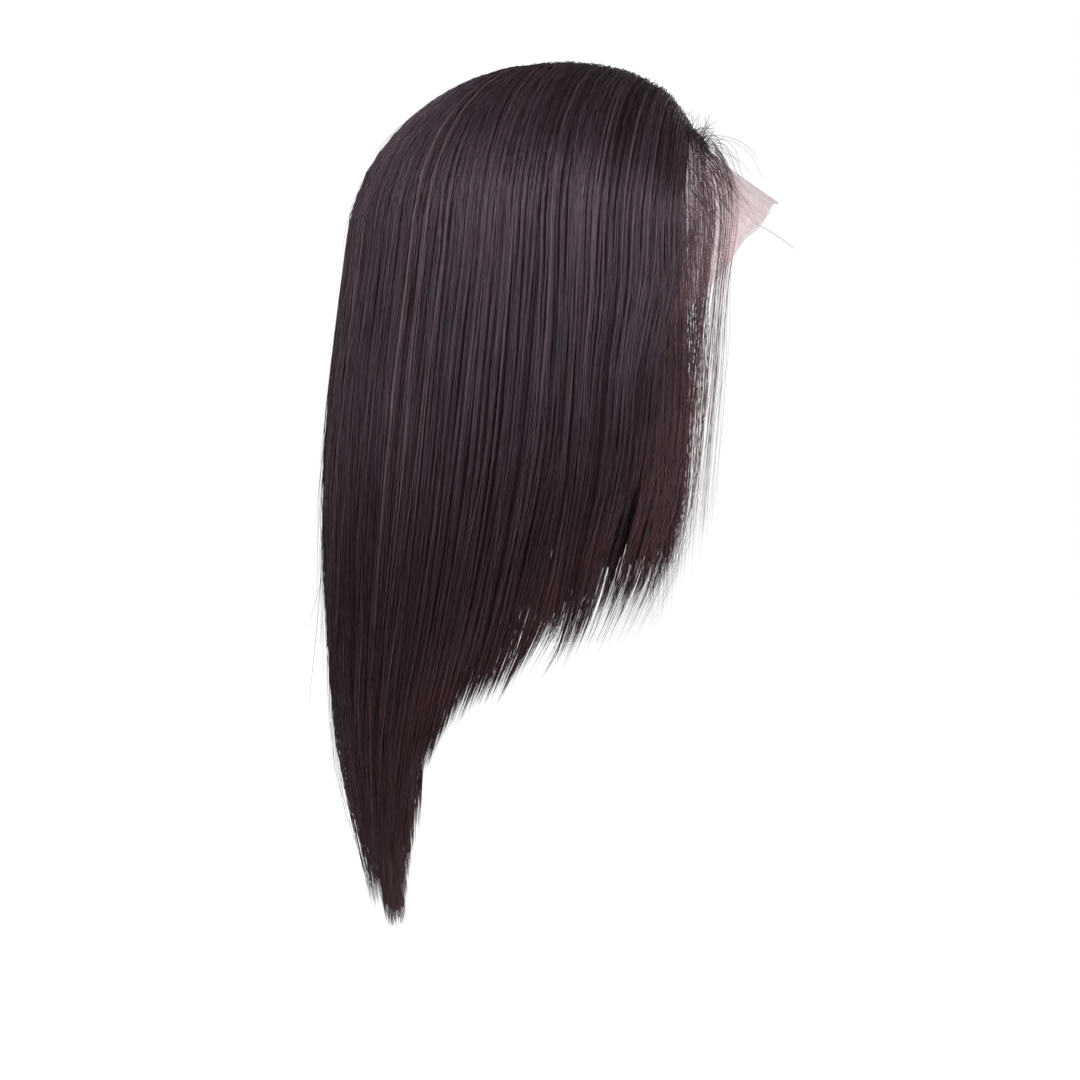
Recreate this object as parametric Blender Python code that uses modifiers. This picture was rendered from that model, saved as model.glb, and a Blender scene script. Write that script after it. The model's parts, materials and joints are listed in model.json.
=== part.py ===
"""Lace front wig of long straight hair, in the form that it has when it is worn.

Metres, +Z up, the face towards -Y and the wearer's right side towards -X.
The origin is the crown of the head that wears the wig, where the cap sits.
"""

import math
from collections import namedtuple

import bmesh
import bpy

COLLECTION = "lace_front_wig"

# The head that the cap fits. Its centre lies on the widest level, below the crown.
HEAD_HALF_WIDTH = 0.079
HEAD_HALF_LENGTH = 0.095
HEAD_CENTRE_Y = -0.004
HEAD_RISE = 0.090
HEAD_DROP = 0.150
WIDEST_Z = -HEAD_RISE

# Walls and gaps of the cap, counted outwards from the head
BAND_THICK = 0.0010
CAP_PAD = 0.0013
CAP_THICK = 0.0012
LACE_THICK = 0.0010
HAIR_PAD = 0.0038
NAPE_HAIR_PAD = 0.0030
SEAM_HALF_GAP_DEG = 0.12
CAP_COLUMNS = 24
CAP_ROWS = 10
BAND_ROWS = 2

# Hair masses
PANEL_HALF_GAP_DEG = 0.25
ROOT_HALF_GAP = 0.0005
FULL_THICK = 0.0160
DOME_ROWS = 6
HANGING_ROWS = 9
PANEL_ROWS = DOME_ROWS + HANGING_ROWS
DOME_SHARE = DOME_ROWS / PANEL_ROWS
BACK_FLOW_FROM_DEG = 110.0

# A lock has some columns of the grid and a valley, which is cut through at the hem
RIDGE_COLUMNS = 3
LOCK_COLUMNS = RIDGE_COLUMNS + 1
VALLEY_SHARE = 0.14
VALLEY_THICK = 0.66
EDGE_THICK = 0.40
LOCK_GROW_SHARE = 0.25
NOTCH_ROWS = 2
TIP_NARROW = 0.55
LOCK_STAGGER = 0.006
LOCK_STAGGER_TURN = 2.4
LOCK_STAGGER_START = 0.7

# Colours of hair, cap net and lace
HAIR_COLOUR = (0.030, 0.022, 0.026)
CAP_COLOUR = (0.020, 0.018, 0.019)
LACE_COLOUR = (0.62, 0.44, 0.38)
BAND_COLOUR = (0.015, 0.014, 0.015)

# An arch runs over the head from ear to ear. Its end is a place in the side view, and its
# top is an angle on the head's profile, from 0 at the forehead over 90 at the crown.
Arch = namedtuple("Arch", "place end_y end_z top_deg")
LACE_ARCHES = (
    Arch("forehead", -0.066, -0.124, 35.5),
    Arch("parting", -0.036, -0.121, 66.0),
    Arch("seam", -0.016, -0.109, 96.0),
)
CAP_ARCHES = (
    Arch("seam", -0.016, -0.109, 96.0),
    Arch("crown", -0.003, -0.104, 118.0),
    Arch("back", 0.015, -0.110, 146.0),
    Arch("occiput", 0.033, -0.130, 177.0),
    Arch("nape", 0.047, -0.152, 211.0),
)

# The uncut lace stands out from the forehead like a peak, as far as its tip
PEAK_TIP_Y = -0.1206
PEAK_TIP_Z = -0.0634
PEAK_END_X = 0.050
PEAK_END_Y = -0.074
PEAK_END_Z = -0.121
PEAK_SHARE = 0.34

# Sections through the hanging hair: half width and back of its inner side, how square the
# back is, and where the panels' edges lie in the side view
Level = namedtuple("Level", "z half_width back_y square front groove side_back left_front nape")
LEVELS = (
    Level(-0.090, 0.0830, 0.0955, 2.0, -0.081, -0.016, 0.040, -0.081, 0.036),
    Level(-0.146, 0.0845, 0.1005, 2.1, -0.082, -0.014, 0.046, -0.083, 0.040),
    Level(-0.208, 0.0850, 0.1035, 2.3, -0.077, -0.010, 0.051, -0.082, 0.048),
    Level(-0.245, 0.0850, 0.1030, 2.4, -0.067, -0.004, 0.055, -0.075, 0.052),
    Level(-0.280, 0.0840, 0.1015, 2.5, -0.053, 0.005, 0.060, -0.062, 0.056),
    Level(-0.312, 0.0825, 0.1000, 2.7, -0.035, 0.018, 0.066, -0.044, 0.060),
    Level(-0.346, 0.0795, 0.0975, 2.9, -0.014, 0.035, 0.072, -0.020, 0.064),
    Level(-0.433, 0.0700, 0.0870, 3.2, 0.030, 0.062, 0.083, 0.030, 0.068),
)
FRONT_REACH = 0.1043

# One row for each edge between panels of hair that fall from the parting: the table column
# that it follows, its root beside the parting, its lowest point, and the hair's thickness at
# the root and below
Edge = namedtuple("Edge", "column root_x root_y hem_z root_thick thick")
RIGHT_EDGES = {
    "front": Edge("front", 0.0007, -0.080, -0.240, 0.0012, 0.0024),
    "groove": Edge("groove", 0.0007, -0.044, -0.300, 0.0085, 0.0090),
    "side_back": Edge("side_back", 0.0020, 0.000, -0.380, 0.0048, 0.0100),
    "centre": Edge("centre", 0.0000, 0.003, -0.418, 0.0044, 0.0115),
}
LEFT_EDGES = dict(RIGHT_EDGES, front=Edge("left_front", 0.0007, -0.080, -0.270, 0.0012, 0.0024))
Panel = namedtuple("Panel", "name first last locks hem_bow thick_reach")
PANELS = (
    Panel("front_hair", "front", "groove", 5, 1.0, 0.6),
    Panel("side_hair", "groove", "side_back", 6, 1.3, 1.0),
)
BACK_LOCKS = 9
NAPE_LOCKS = 8
NAPE_ROWS = 9
NAPE_ROOT_Z = -0.158
NAPE_TIP_Z = -0.433
NAPE_SIDE_TIP_Z = -0.388
NAPE_THICK = 0.0095
NAPE_INSET = 0.0135
NAPE_SETTLE_SHARE = 0.3
NAPE_SIDE_THINNING = 0.6

# How thick the hanging hair is along its length, as a share of its edges' thickness
Swell = namedtuple("Swell", "along share")
HANGING_SWELL = (
    Swell(0.00, 0.76),
    Swell(0.25, 1.06),
    Swell(0.55, 1.20),
    Swell(0.85, 0.95),
    Swell(1.00, 0.20),
)
NAPE_SWELL = (Swell(0.0, 0.25), Swell(0.3, 1.0), Swell(0.8, 1.0), Swell(1.0, 0.20))


def lerp(a, b, share):
    return a + (b - a) * share


def smooth(share):
    share = min(max(share, 0.0), 1.0)
    return share * share * (3 - 2 * share)


def curve(keys, values, at):
    """A smooth curve through values at rising keys, read at one place."""
    at = min(max(at, keys[0]), keys[-1])
    i = next(n for n in range(len(keys) - 1) if at <= keys[n + 1])
    slopes = [(values[n + 1] - values[n]) / (keys[n + 1] - keys[n]) for n in range(len(keys) - 1)]
    before = slopes[i] if i == 0 else (slopes[i - 1] + slopes[i]) / 2
    after = slopes[i] if i == len(slopes) - 1 else (slopes[i] + slopes[i + 1]) / 2
    span = keys[i + 1] - keys[i]
    t = (at - keys[i]) / span
    return (
        (1 + 2 * t) * (1 - t) ** 2 * values[i]
        + t * (1 - t) ** 2 * span * before
        + t * t * (3 - 2 * t) * values[i + 1]
        + t * t * (t - 1) * span * after
    )


def level(column, z):
    """A column of the table of levels, read at one height."""
    return curve([-row.z for row in LEVELS], [getattr(row, column) for row in LEVELS], -z)


def swell(rows, along):
    """A table of swells, read at one share of the length."""
    return curve([row.along for row in rows], [row.share for row in rows], along)


def arch_value(arches, column, along):
    """A column of a table of arches, which lie at equal steps."""
    steps = [n / (len(arches) - 1) for n in range(len(arches))]
    return curve(steps, [getattr(arch, column) for arch in arches], along)


def head_profile(angle_deg, pad):
    """A point of the padded head's profile in the side view, as (y, z)."""
    angle = math.radians(angle_deg)
    height = HEAD_RISE if angle_deg <= 180 else HEAD_DROP
    y = HEAD_CENTRE_Y - (HEAD_HALF_LENGTH + pad) * math.cos(angle)
    return y, WIDEST_Z + (height + pad) * math.sin(angle)


def head_half_width(y, z, pad):
    """How far the padded head reaches to the side of a place in the side view."""
    height = HEAD_RISE if z > WIDEST_Z else HEAD_DROP
    along = (y - HEAD_CENTRE_Y) / (HEAD_HALF_LENGTH + pad)
    up = (z - WIDEST_Z) / (height + pad)
    return (HEAD_HALF_WIDTH + pad) * math.sqrt(max(0.0, 1 - along * along - up * up))


def arch_point(arches, along, across, pad):
    """A point of the cap: along runs from the first arch to the last, across from ear to ear."""
    top_y, top_z = head_profile(arch_value(arches, "top_deg", along), pad)
    share = math.cos(across * math.pi / 2)
    y = lerp(arch_value(arches, "end_y", along), top_y, share)
    z = lerp(arch_value(arches, "end_z", along), top_z, share)
    x = head_half_width(y, z, pad) if across else 0.0
    return math.copysign(x, across), y, z


def lace_point(across, along):
    """A point of the lace: along runs from its uncut front edge over the hairline to the seam."""
    if along >= PEAK_SHARE:
        last = 1 - SEAM_HALF_GAP_DEG / (LACE_ARCHES[-1].top_deg - LACE_ARCHES[0].top_deg)
        on_head = (along - PEAK_SHARE) / (1 - PEAK_SHARE) * last
        return arch_point(LACE_ARCHES, on_head, across, CAP_PAD)
    root = arch_point(LACE_ARCHES, 0.0, across, CAP_PAD)
    share = math.cos(across * math.pi / 2)
    tip_x = PEAK_END_X * math.sin(across * math.pi / 2)
    tip = tip_x, lerp(PEAK_END_Y, PEAK_TIP_Y, share), lerp(PEAK_END_Z, PEAK_TIP_Z, share)
    reach = 1 - along / PEAK_SHARE
    return tuple(lerp(a, b, reach) for a, b in zip(root, tip))


def cap_point(across, along):
    """A point of the stretch cap, from the seam to the nape."""
    first = SEAM_HALF_GAP_DEG / (CAP_ARCHES[-1].top_deg - CAP_ARCHES[0].top_deg)
    return arch_point(CAP_ARCHES, lerp(first, 1.0, along), across, CAP_PAD)


def band_point(across, along):
    """A point of the band that lies inside the cap's lower edge."""
    first = SEAM_HALF_GAP_DEG / (CAP_ARCHES[-1].top_deg - CAP_ARCHES[0].top_deg)
    on_cap = lerp(1 - BAND_ROWS / CAP_ROWS, 1.0, along)
    return arch_point(CAP_ARCHES, lerp(first, 1.0, on_cap), across, 0.0)


def hair_section(z, half_width, back_y, angle):
    """A point of the hanging hair's section at one level. The angle is 0 at the face."""
    x = half_width * math.sin(angle)
    if angle <= math.pi / 2:
        return x, HEAD_CENTRE_Y - FRONT_REACH * math.cos(angle), z
    power = 2 / level("square", z)
    x = half_width * math.sin(angle) ** power
    return x, HEAD_CENTRE_Y + (back_y - HEAD_CENTRE_Y) * abs(math.cos(angle)) ** power, z


def edge_angle(column, z, inset=0.0):
    """The section angle at which a panel's edge lies at one level."""
    if column == "centre":
        return math.pi
    y = level(column, z) - HEAD_CENTRE_Y
    if y < 0:
        return math.acos(-y / FRONT_REACH)
    power = level("square", z) / 2
    reach = level("back_y", z) - inset - HEAD_CENTRE_Y
    return math.acos(-min(y / reach, 1.0) ** power)


def dome_point(angle, root_x, root_y, along):
    """A point of the hair that lies on the head, from the parting at 0 to the widest level at 1."""
    lowest = LEVELS[0]
    reach = HEAD_HALF_LENGTH + HAIR_PAD
    root_n = (root_y - HEAD_CENTRE_Y) / reach
    across_n = root_x / lowest.half_width
    start = (across_n, root_n, math.sqrt(1 - root_n * root_n - across_n * across_n))
    end = (math.sin(angle), -math.cos(angle), 0.0)
    turn = math.acos(sum(a * b for a, b in zip(start, end)))
    near = math.sin((1 - along) * turn) / math.sin(turn)
    far = math.sin(along * turn) / math.sin(turn)
    x, fanned_y, z = (near * a + far * b for a, b in zip(start, end))
    combed_y = lerp(start[1], end[1], math.sin(along * math.pi / 2))
    fan = smooth((math.degrees(angle) - BACK_FLOW_FROM_DEG) / (180 - BACK_FLOW_FROM_DEG))
    y = lerp(combed_y, fanned_y, fan)
    shrink = math.sqrt(max(0.0, 1 - y * y) / max(x * x + z * z, 1e-12))
    final_reach = FRONT_REACH if y < 0 else lowest.back_y - HEAD_CENTRE_Y
    return (
        x * shrink * lowest.half_width,
        HEAD_CENTRE_Y + y * lerp(reach, final_reach, smooth(along)),
        WIDEST_Z + z * shrink * (HEAD_RISE + HAIR_PAD),
    )


def fall_point(first, last, share, hem_z, along):
    """A point of the hair's inner side between two edges, on the wearer's left.

    The hair lies on the head from the parting to the widest level, and hangs from there.
    """
    hanging = (along - DOME_SHARE) / (1 - DOME_SHARE)
    z = lerp(WIDEST_Z, hem_z, max(hanging, 0.0))
    gap = math.radians(PANEL_HALF_GAP_DEG)
    start = edge_angle(first.column, z) + gap
    end = edge_angle(last.column, z) - (0.0 if last.column == "centre" else gap)
    angle = lerp(start, end, share)
    if hanging > 0:
        return hair_section(z, level("half_width", z), level("back_y", z), angle)
    root_x = lerp(first.root_x, last.root_x, share)
    root_y = lerp(first.root_y + ROOT_HALF_GAP, last.root_y - ROOT_HALF_GAP, share)
    return dome_point(angle, root_x, root_y, along / DOME_SHARE)


def fall_thickness(first, last, share, along):
    """Thickness of the hair between two edges, before its locks are cut into it."""
    root = lerp(first.root_thick, last.root_thick, share)
    body = lerp(first.thick, last.thick, share)
    if along < DOME_SHARE:
        return lerp(root, body * HANGING_SWELL[0].share, smooth(along / DOME_SHARE) ** 2)
    hanging = (along - DOME_SHARE) / (1 - DOME_SHARE)
    return body * swell(HANGING_SWELL, hanging)


def lock_place(locks, across, along):
    """Where a grid column lies in its lock: the lock's number and the new share across.

    The grid's columns are gathered into ridges with a narrow valley between them, and the
    ridges grow narrow towards their tips.
    """
    column = round(across * (locks * LOCK_COLUMNS - 1))
    lock, place = divmod(column, LOCK_COLUMNS)
    in_ridge = place / RIDGE_COLUMNS
    middle = (lock + 0.5) / locks
    half = 0.5 * (1 - VALLEY_SHARE) / locks
    rows_from_tip = (1 - along) * PANEL_ROWS
    half *= 1 - TIP_NARROW * smooth(1 - rows_from_tip / (NOTCH_ROWS + 1))
    ends = 0.5 * VALLEY_SHARE / locks
    placed = middle + (2 * in_ridge - 1) * half
    return lock, min(max((placed - ends) / (1 - 2 * ends), 0.0), 1.0)


def stagger(lock):
    """How much lower or higher a lock ends than the hem, so that no two neighbours are alike."""
    return LOCK_STAGGER * math.sin(LOCK_STAGGER_TURN * lock + LOCK_STAGGER_START)


def panel_point(panel, edges, across, along):
    """A point of a side panel's inner side, on the wearer's left."""
    first, last = edges[panel.first], edges[panel.last]
    lock, share = lock_place(panel.locks, across, along)
    hem_z = lerp(first.hem_z, last.hem_z, share**panel.hem_bow) + stagger(lock)
    return fall_point(first, last, share, hem_z, along)


def back_point(across, along):
    """A point of the back hair's inner side, from the right edge over the back to the left."""
    first, last = RIGHT_EDGES["side_back"], RIGHT_EDGES["centre"]
    lock, across = lock_place(BACK_LOCKS, across, along)
    share = 1 - abs(2 * across - 1)
    hem_z = lerp(first.hem_z, last.hem_z, share) + stagger(lock)
    x, y, z = fall_point(first, last, share, hem_z, along)
    return math.copysign(x, across - 0.5), y, z


def ridge_share(locks, across, along):
    """Thickness across a row of locks: full on a ridge, less in a valley and at the row's ends."""
    column = round(across * (locks * LOCK_COLUMNS - 1))
    if column in (0, locks * LOCK_COLUMNS - 1):
        return EDGE_THICK
    valley = column % LOCK_COLUMNS in (0, RIDGE_COLUMNS)
    return lerp(1.0, VALLEY_THICK, smooth(along / LOCK_GROW_SHARE)) if valley else 1.0


def panel_thickness(panel, edges, across, along):
    """Thickness of a side panel, whose locks grow from the parting to the tips."""
    first, last = edges[panel.first], edges[panel.last]
    share = smooth(across / panel.thick_reach) if panel.thick_reach < 1 else across
    return fall_thickness(first, last, share, along) * ridge_share(panel.locks, across, along)


def back_thickness(across, along):
    """Thickness of the back hair, which is thickest over the middle of the back."""
    first, last = RIGHT_EDGES["side_back"], RIGHT_EDGES["centre"]
    share = 1 - abs(2 * across - 1)
    return fall_thickness(first, last, share, along) * ridge_share(BACK_LOCKS, across, along)


def nape_point(across, along):
    """A point of the longest layer, which hangs from the nape. Across runs from right to left."""
    lock, across = lock_place(NAPE_LOCKS, across, along)
    across = 2 * across - 1
    side = abs(across)
    tip_z = lerp(NAPE_TIP_Z, NAPE_SIDE_TIP_Z, side * side) - stagger(lock)
    z = lerp(NAPE_ROOT_Z, tip_z, along)
    on_cap = 1 - smooth(along / NAPE_SETTLE_SHARE)
    angle = lerp(math.pi, edge_angle("nape", z, NAPE_INSET), side)
    half_width = level("half_width", z) - NAPE_INSET
    x, y, z = hair_section(z, half_width, level("back_y", z) - NAPE_INSET, angle)
    narrow = math.sqrt(1 - ((NAPE_ROOT_Z - WIDEST_Z) / (HEAD_DROP + NAPE_HAIR_PAD)) ** 2)
    cap_x = (HEAD_HALF_WIDTH + NAPE_HAIR_PAD) * narrow * math.sin(angle)
    cap_y = HEAD_CENTRE_Y - (HEAD_HALF_LENGTH + NAPE_HAIR_PAD) * narrow * math.cos(angle)
    return math.copysign(lerp(x, cap_x, on_cap), across), lerp(y, cap_y, on_cap), z


def nape_thickness(across, along):
    """Thickness of the longest layer, which grows thin towards its side edges."""
    side = 1 - NAPE_SIDE_THINNING * (2 * across - 1) ** 2
    return NAPE_THICK * side * ridge_share(NAPE_LOCKS, across, along) * swell(NAPE_SWELL, along)


def material(name, colour, roughness):
    """A plain finish in one colour."""
    made = bpy.data.materials.new(name)
    made.use_nodes = True
    shader = made.node_tree.nodes["Principled BSDF"]
    shader.inputs["Base Color"].default_value = (*colour, 1.0)
    shader.inputs["Roughness"].default_value = roughness
    shader.inputs["Metallic"].default_value = 0.0
    made.diffuse_color = (*colour, 1.0)
    return made


def shell(name, columns, rows, place, thickness, finish, turned=False, notched=False):
    """A wall: a grid whose points go where place puts them, thickened outwards by Solidify.

    place and thickness take shares from 0 to 1 across and along the grid. A notched wall is
    cut through between its locks at the far end of the grid.
    """
    surface = bmesh.new()
    bmesh.ops.create_grid(surface, x_segments=columns, y_segments=rows, size=0.5)
    if notched:
        valleys = []
        for face in surface.faces:
            centre = face.calc_center_median()
            column = int((centre.x + 0.5) * columns)
            row = int((centre.y + 0.5) * rows)
            if column % LOCK_COLUMNS == RIDGE_COLUMNS and row >= rows - NOTCH_ROWS:
                valleys.append(face)
        bmesh.ops.delete(surface, geom=valleys, context="FACES")
    shares = [(v.co.x + 0.5, v.co.y + 0.5) for v in surface.verts]
    for vertex, (across, along) in zip(surface.verts, shares):
        vertex.co = place(across, along)
    if turned:
        bmesh.ops.reverse_faces(surface, faces=surface.faces)
    mesh = bpy.data.meshes.new(name)
    surface.to_mesh(mesh)
    surface.free()
    mesh.shade_smooth()
    made = bpy.data.objects.new(name, mesh)
    bpy.data.collections[COLLECTION].objects.link(made)
    made.data.materials.append(finish)
    group = made.vertex_groups.new(name="thickness")
    for n, (across, along) in enumerate(shares):
        group.add([n], thickness(across, along) / FULL_THICK, "REPLACE")
    wall = made.modifiers.new("wall", "SOLIDIFY")
    wall.thickness = FULL_THICK
    wall.offset = 1.0
    wall.vertex_group = group.name
    return made


def make_cap(finish_lace, finish_cap, finish_band):
    """The lace panel, the stretch cap behind it and the band inside the cap's lower edge."""

    def lace(across, along):
        return lace_point(2 * across - 1, along)

    def cap(across, along):
        return cap_point(2 * across - 1, along)

    def band(across, along):
        return band_point(2 * across - 1, along)

    shell("lace_front", CAP_COLUMNS, CAP_ROWS, lace, lambda u, v: LACE_THICK, finish_lace)
    shell("stretch_cap", CAP_COLUMNS, CAP_ROWS, cap, lambda u, v: CAP_THICK, finish_cap)
    shell("nape_band", CAP_COLUMNS, BAND_ROWS, band, lambda u, v: BAND_THICK, finish_band)


def make_panel(panel, side_name, edges, finish):
    """One panel of hair on one side: hair that falls from the parting, in locks."""
    side = 1 if side_name == "left" else -1

    def place(across, along):
        x, y, z = panel_point(panel, edges, across, along)
        return side * x, y, z

    def thickness(across, along):
        return panel_thickness(panel, edges, across, along)

    columns = panel.locks * LOCK_COLUMNS - 1
    name = f"{panel.name}_{side_name}"
    shell(name, columns, PANEL_ROWS, place, thickness, finish, side > 0, notched=True)


def make_hair(finish):
    """The panels on both sides, the back hair and the long layer from the nape."""
    for panel in PANELS:
        make_panel(panel, "right", RIGHT_EDGES, finish)
        make_panel(panel, "left", LEFT_EDGES, finish)
    columns = BACK_LOCKS * LOCK_COLUMNS - 1
    shell("back_hair", columns, PANEL_ROWS, back_point, back_thickness, finish, notched=True)
    columns = NAPE_LOCKS * LOCK_COLUMNS - 1
    shell("nape_hair", columns, NAPE_ROWS, nape_point, nape_thickness, finish, notched=True)


def main():
    for obj in list(bpy.data.objects):
        bpy.data.objects.remove(obj)
    collection = bpy.data.collections.new(COLLECTION)
    bpy.context.scene.collection.children.link(collection)
    lace = material("lace", LACE_COLOUR, 0.8)
    cap = material("cap_net", CAP_COLOUR, 0.7)
    band = material("band", BAND_COLOUR, 0.75)
    make_cap(lace, cap, band)
    make_hair(material("hair", HAIR_COLOUR, 0.4))


main()
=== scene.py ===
# %% [markdown]
# # A lace front wig, finished over its plain solids
#
# A lace front wig is a net cap with hair tied or sewn into it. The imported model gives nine
# plain closed solids: a lace panel, a cap, a nape band and the masses of hair. This lesson
# keeps their places and sizes, and swaps each one for what the real thing is made of: sheer
# net, knitted cap, woven elastic and thousands of separate strands.

# %% Load the fixed frame
import json
import math
from collections import namedtuple

import bpy
import numpy as np
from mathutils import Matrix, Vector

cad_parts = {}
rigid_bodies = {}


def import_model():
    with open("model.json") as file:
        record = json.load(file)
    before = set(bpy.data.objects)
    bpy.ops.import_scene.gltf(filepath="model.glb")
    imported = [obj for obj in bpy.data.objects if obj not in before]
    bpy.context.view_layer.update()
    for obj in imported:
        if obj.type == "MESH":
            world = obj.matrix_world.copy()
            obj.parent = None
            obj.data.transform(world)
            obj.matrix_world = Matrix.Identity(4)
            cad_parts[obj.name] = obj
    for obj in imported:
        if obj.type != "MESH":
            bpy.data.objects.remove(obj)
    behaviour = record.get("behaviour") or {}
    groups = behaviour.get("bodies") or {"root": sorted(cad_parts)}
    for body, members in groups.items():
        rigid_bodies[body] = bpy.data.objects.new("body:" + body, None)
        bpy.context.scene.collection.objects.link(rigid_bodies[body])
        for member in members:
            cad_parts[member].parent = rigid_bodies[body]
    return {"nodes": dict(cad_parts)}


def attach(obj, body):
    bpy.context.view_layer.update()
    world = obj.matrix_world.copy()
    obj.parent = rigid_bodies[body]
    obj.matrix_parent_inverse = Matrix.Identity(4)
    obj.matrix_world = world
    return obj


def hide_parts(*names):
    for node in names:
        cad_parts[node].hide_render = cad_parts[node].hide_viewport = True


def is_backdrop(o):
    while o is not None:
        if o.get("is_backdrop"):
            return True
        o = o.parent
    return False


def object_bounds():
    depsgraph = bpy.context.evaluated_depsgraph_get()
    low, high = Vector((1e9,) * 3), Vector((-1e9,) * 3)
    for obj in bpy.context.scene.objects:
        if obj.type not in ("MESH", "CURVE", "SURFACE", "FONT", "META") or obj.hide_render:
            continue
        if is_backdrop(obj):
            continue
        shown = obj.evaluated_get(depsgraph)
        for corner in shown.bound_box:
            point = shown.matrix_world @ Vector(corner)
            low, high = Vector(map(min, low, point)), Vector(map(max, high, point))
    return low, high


for old in list(bpy.data.objects):
    bpy.data.objects.remove(old)
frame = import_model()
cad_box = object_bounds()
bpy.ops.object.select_all(action="DESELECT")
print("nodes in the frame:", sorted(frame["nodes"]))

# %% [markdown]
# ## Camera
#
# The photograph looks at the wearer's right side, level with the middle of the hair. Its scale
# is known, so the lens follows from the distance: a long lens from two metres keeps the
# outline free of distortion. The origin is the crown of the head, and the face looks along -Y.

# %% Place the camera
PIXEL = 0.00052
PHOTO_PIXELS = 1080
ORIGIN_PIXEL_X = 545
ORIGIN_PIXEL_Y = 80
CAMERA_DISTANCE = 2.0
SENSOR_WIDTH = 36.0

frame_width = PHOTO_PIXELS * PIXEL
target_y = (ORIGIN_PIXEL_X - PHOTO_PIXELS / 2) * PIXEL
target_z = (ORIGIN_PIXEL_Y - PHOTO_PIXELS / 2) * PIXEL
camera_data = bpy.data.cameras.new("photo_camera")
camera_data.sensor_width = SENSOR_WIDTH
camera_data.lens = SENSOR_WIDTH * CAMERA_DISTANCE / frame_width
camera = bpy.data.objects.new("photo_camera", camera_data)
camera.location = (-CAMERA_DISTANCE, target_y, target_z)
camera.rotation_euler = (math.pi / 2, 0.0, -math.pi / 2)
bpy.context.collection.objects.link(camera)
bpy.context.scene.camera = camera
print(f"lens {camera_data.lens:.0f} mm for a frame {frame_width:.3f} m wide")

# %% [markdown]
# ## Helpers for materials
#
# A material is a tree of nodes. Each one could be added and joined by hand. Four small
# functions do it here: they fill a node's inputs, add a node, add a sum and start a material.

# %% Helpers for nodes
def fill(tree, node, inputs):
    """Links sockets to a node's inputs, and sets those that get a plain value."""
    for name, value in inputs.items():
        if isinstance(value, bpy.types.NodeSocket):
            tree.links.new(value, node.inputs[name])
        else:
            node.inputs[name].default_value = value


def add_node(tree, kind, inputs=None, **settings):
    """A node with its settings and its inputs."""
    node = tree.nodes.new(f"ShaderNode{kind}")
    for name, value in settings.items():
        setattr(node, name, value)
    fill(tree, node, inputs or {})
    return node


def maths(tree, operation, *values, clamp=False):
    """A Math node between sockets or numbers, returned as its output."""
    inputs = dict(enumerate(values))
    return add_node(tree, "Math", inputs, operation=operation, use_clamp=clamp).outputs["Value"]


def new_material(name, roughness):
    """A material, its node tree and its shader."""
    made = bpy.data.materials.new(name)
    made.use_nodes = True
    tree = made.node_tree
    shader = tree.nodes["Principled BSDF"]
    shader.inputs["Roughness"].default_value = roughness
    return made, tree, shader


print("nodes are added by", add_node.__name__)

# %% [markdown]
# ## Floor and light
#
# The picture has a bright, plain studio. A large pale floor and a pale world give that. Both
# are brighter to the camera than to the hair, which would turn grey in so much light.

# %% Build the studio
FLOOR_Z = -0.505
FLOOR_SIZE = 16.0
FLOOR_COLOUR = (0.66, 0.66, 0.66, 1.0)
FLOOR_ROUGHNESS = 0.9
FLOOR_GLOW = 0.94
WORLD_SEEN = 1.0
WORLD_LIGHT = 0.20
WHITE = (1.0, 1.0, 1.0, 1.0)

bpy.ops.mesh.primitive_plane_add(size=FLOOR_SIZE, location=(0, 0, FLOOR_Z))
floor = bpy.context.object
floor.name = "floor"
floor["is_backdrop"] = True
floor_material, tree, shader = new_material("pale_floor", FLOOR_ROUGHNESS)
seen = add_node(tree, "LightPath").outputs["Is Camera Ray"]
glow = maths(tree, "MULTIPLY", seen, FLOOR_GLOW)
fill(tree, shader, {"Base Color": FLOOR_COLOUR, "Emission Color": WHITE, "Emission Strength": glow})
floor.data.materials.append(floor_material)

world = bpy.data.worlds.new("studio")
bpy.context.scene.world = world
world.use_nodes = True
sky = world.node_tree
seen = add_node(sky, "LightPath").outputs["Is Camera Ray"]
strength = add_node(sky, "MapRange", {"Value": seen, "To Min": WORLD_LIGHT, "To Max": WORLD_SEEN})
fill(sky, sky.nodes["Background"], {"Color": WHITE, "Strength": strength.outputs["Result"]})
print("floor at", FLOOR_Z, "m")

# %% [markdown]
# Dark hair shows its sheen only where something bright is mirrored in it, so one wide soft
# light stands beside the camera, above the wig. A weaker one behind picks out the back, and a
# low one lights the far side without a rim along the top.

# %% Place the lights
SoftLight = namedtuple("SoftLight", "name place wide high watts")
SOFT_LIGHTS = (
    SoftLight("beside_camera", (-1.35, -0.45, 0.58), 1.7, 0.8, 33.0),
    SoftLight("behind", (-1.0, 1.25, 0.38), 0.9, 0.8, 12.0),
    SoftLight("far_side", (1.5, -0.7, -0.05), 1.2, 0.8, 8.0),
)
AIM_Z = -0.15
for light in SOFT_LIGHTS:
    lamp = bpy.data.lights.new(light.name, "AREA")
    lamp.shape = "RECTANGLE"
    lamp.size = light.wide
    lamp.size_y = light.high
    lamp.energy = light.watts
    holder = bpy.data.objects.new(light.name, lamp)
    bpy.context.collection.objects.link(holder)
    x, y, z = light.place
    holder.location = light.place
    away = math.hypot(x, y)
    holder.rotation_euler = (math.atan2(away, z - AIM_Z), 0.0, math.atan2(-x, y) + math.pi)
bpy.context.scene.view_settings.view_transform = "Standard"
print("lights:", [light.name for light in SOFT_LIGHTS])

# %% [markdown]
# ## The head that the cap fits, and the flow of the hair
#
# Everything on a wig follows the head. Half an ellipsoid gives the crown and a taller one the
# back of the head below it. Short tables say where the cap's edges run over it and how the
# hanging hair's section changes on the way down, and smooth curves are read from them.

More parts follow.
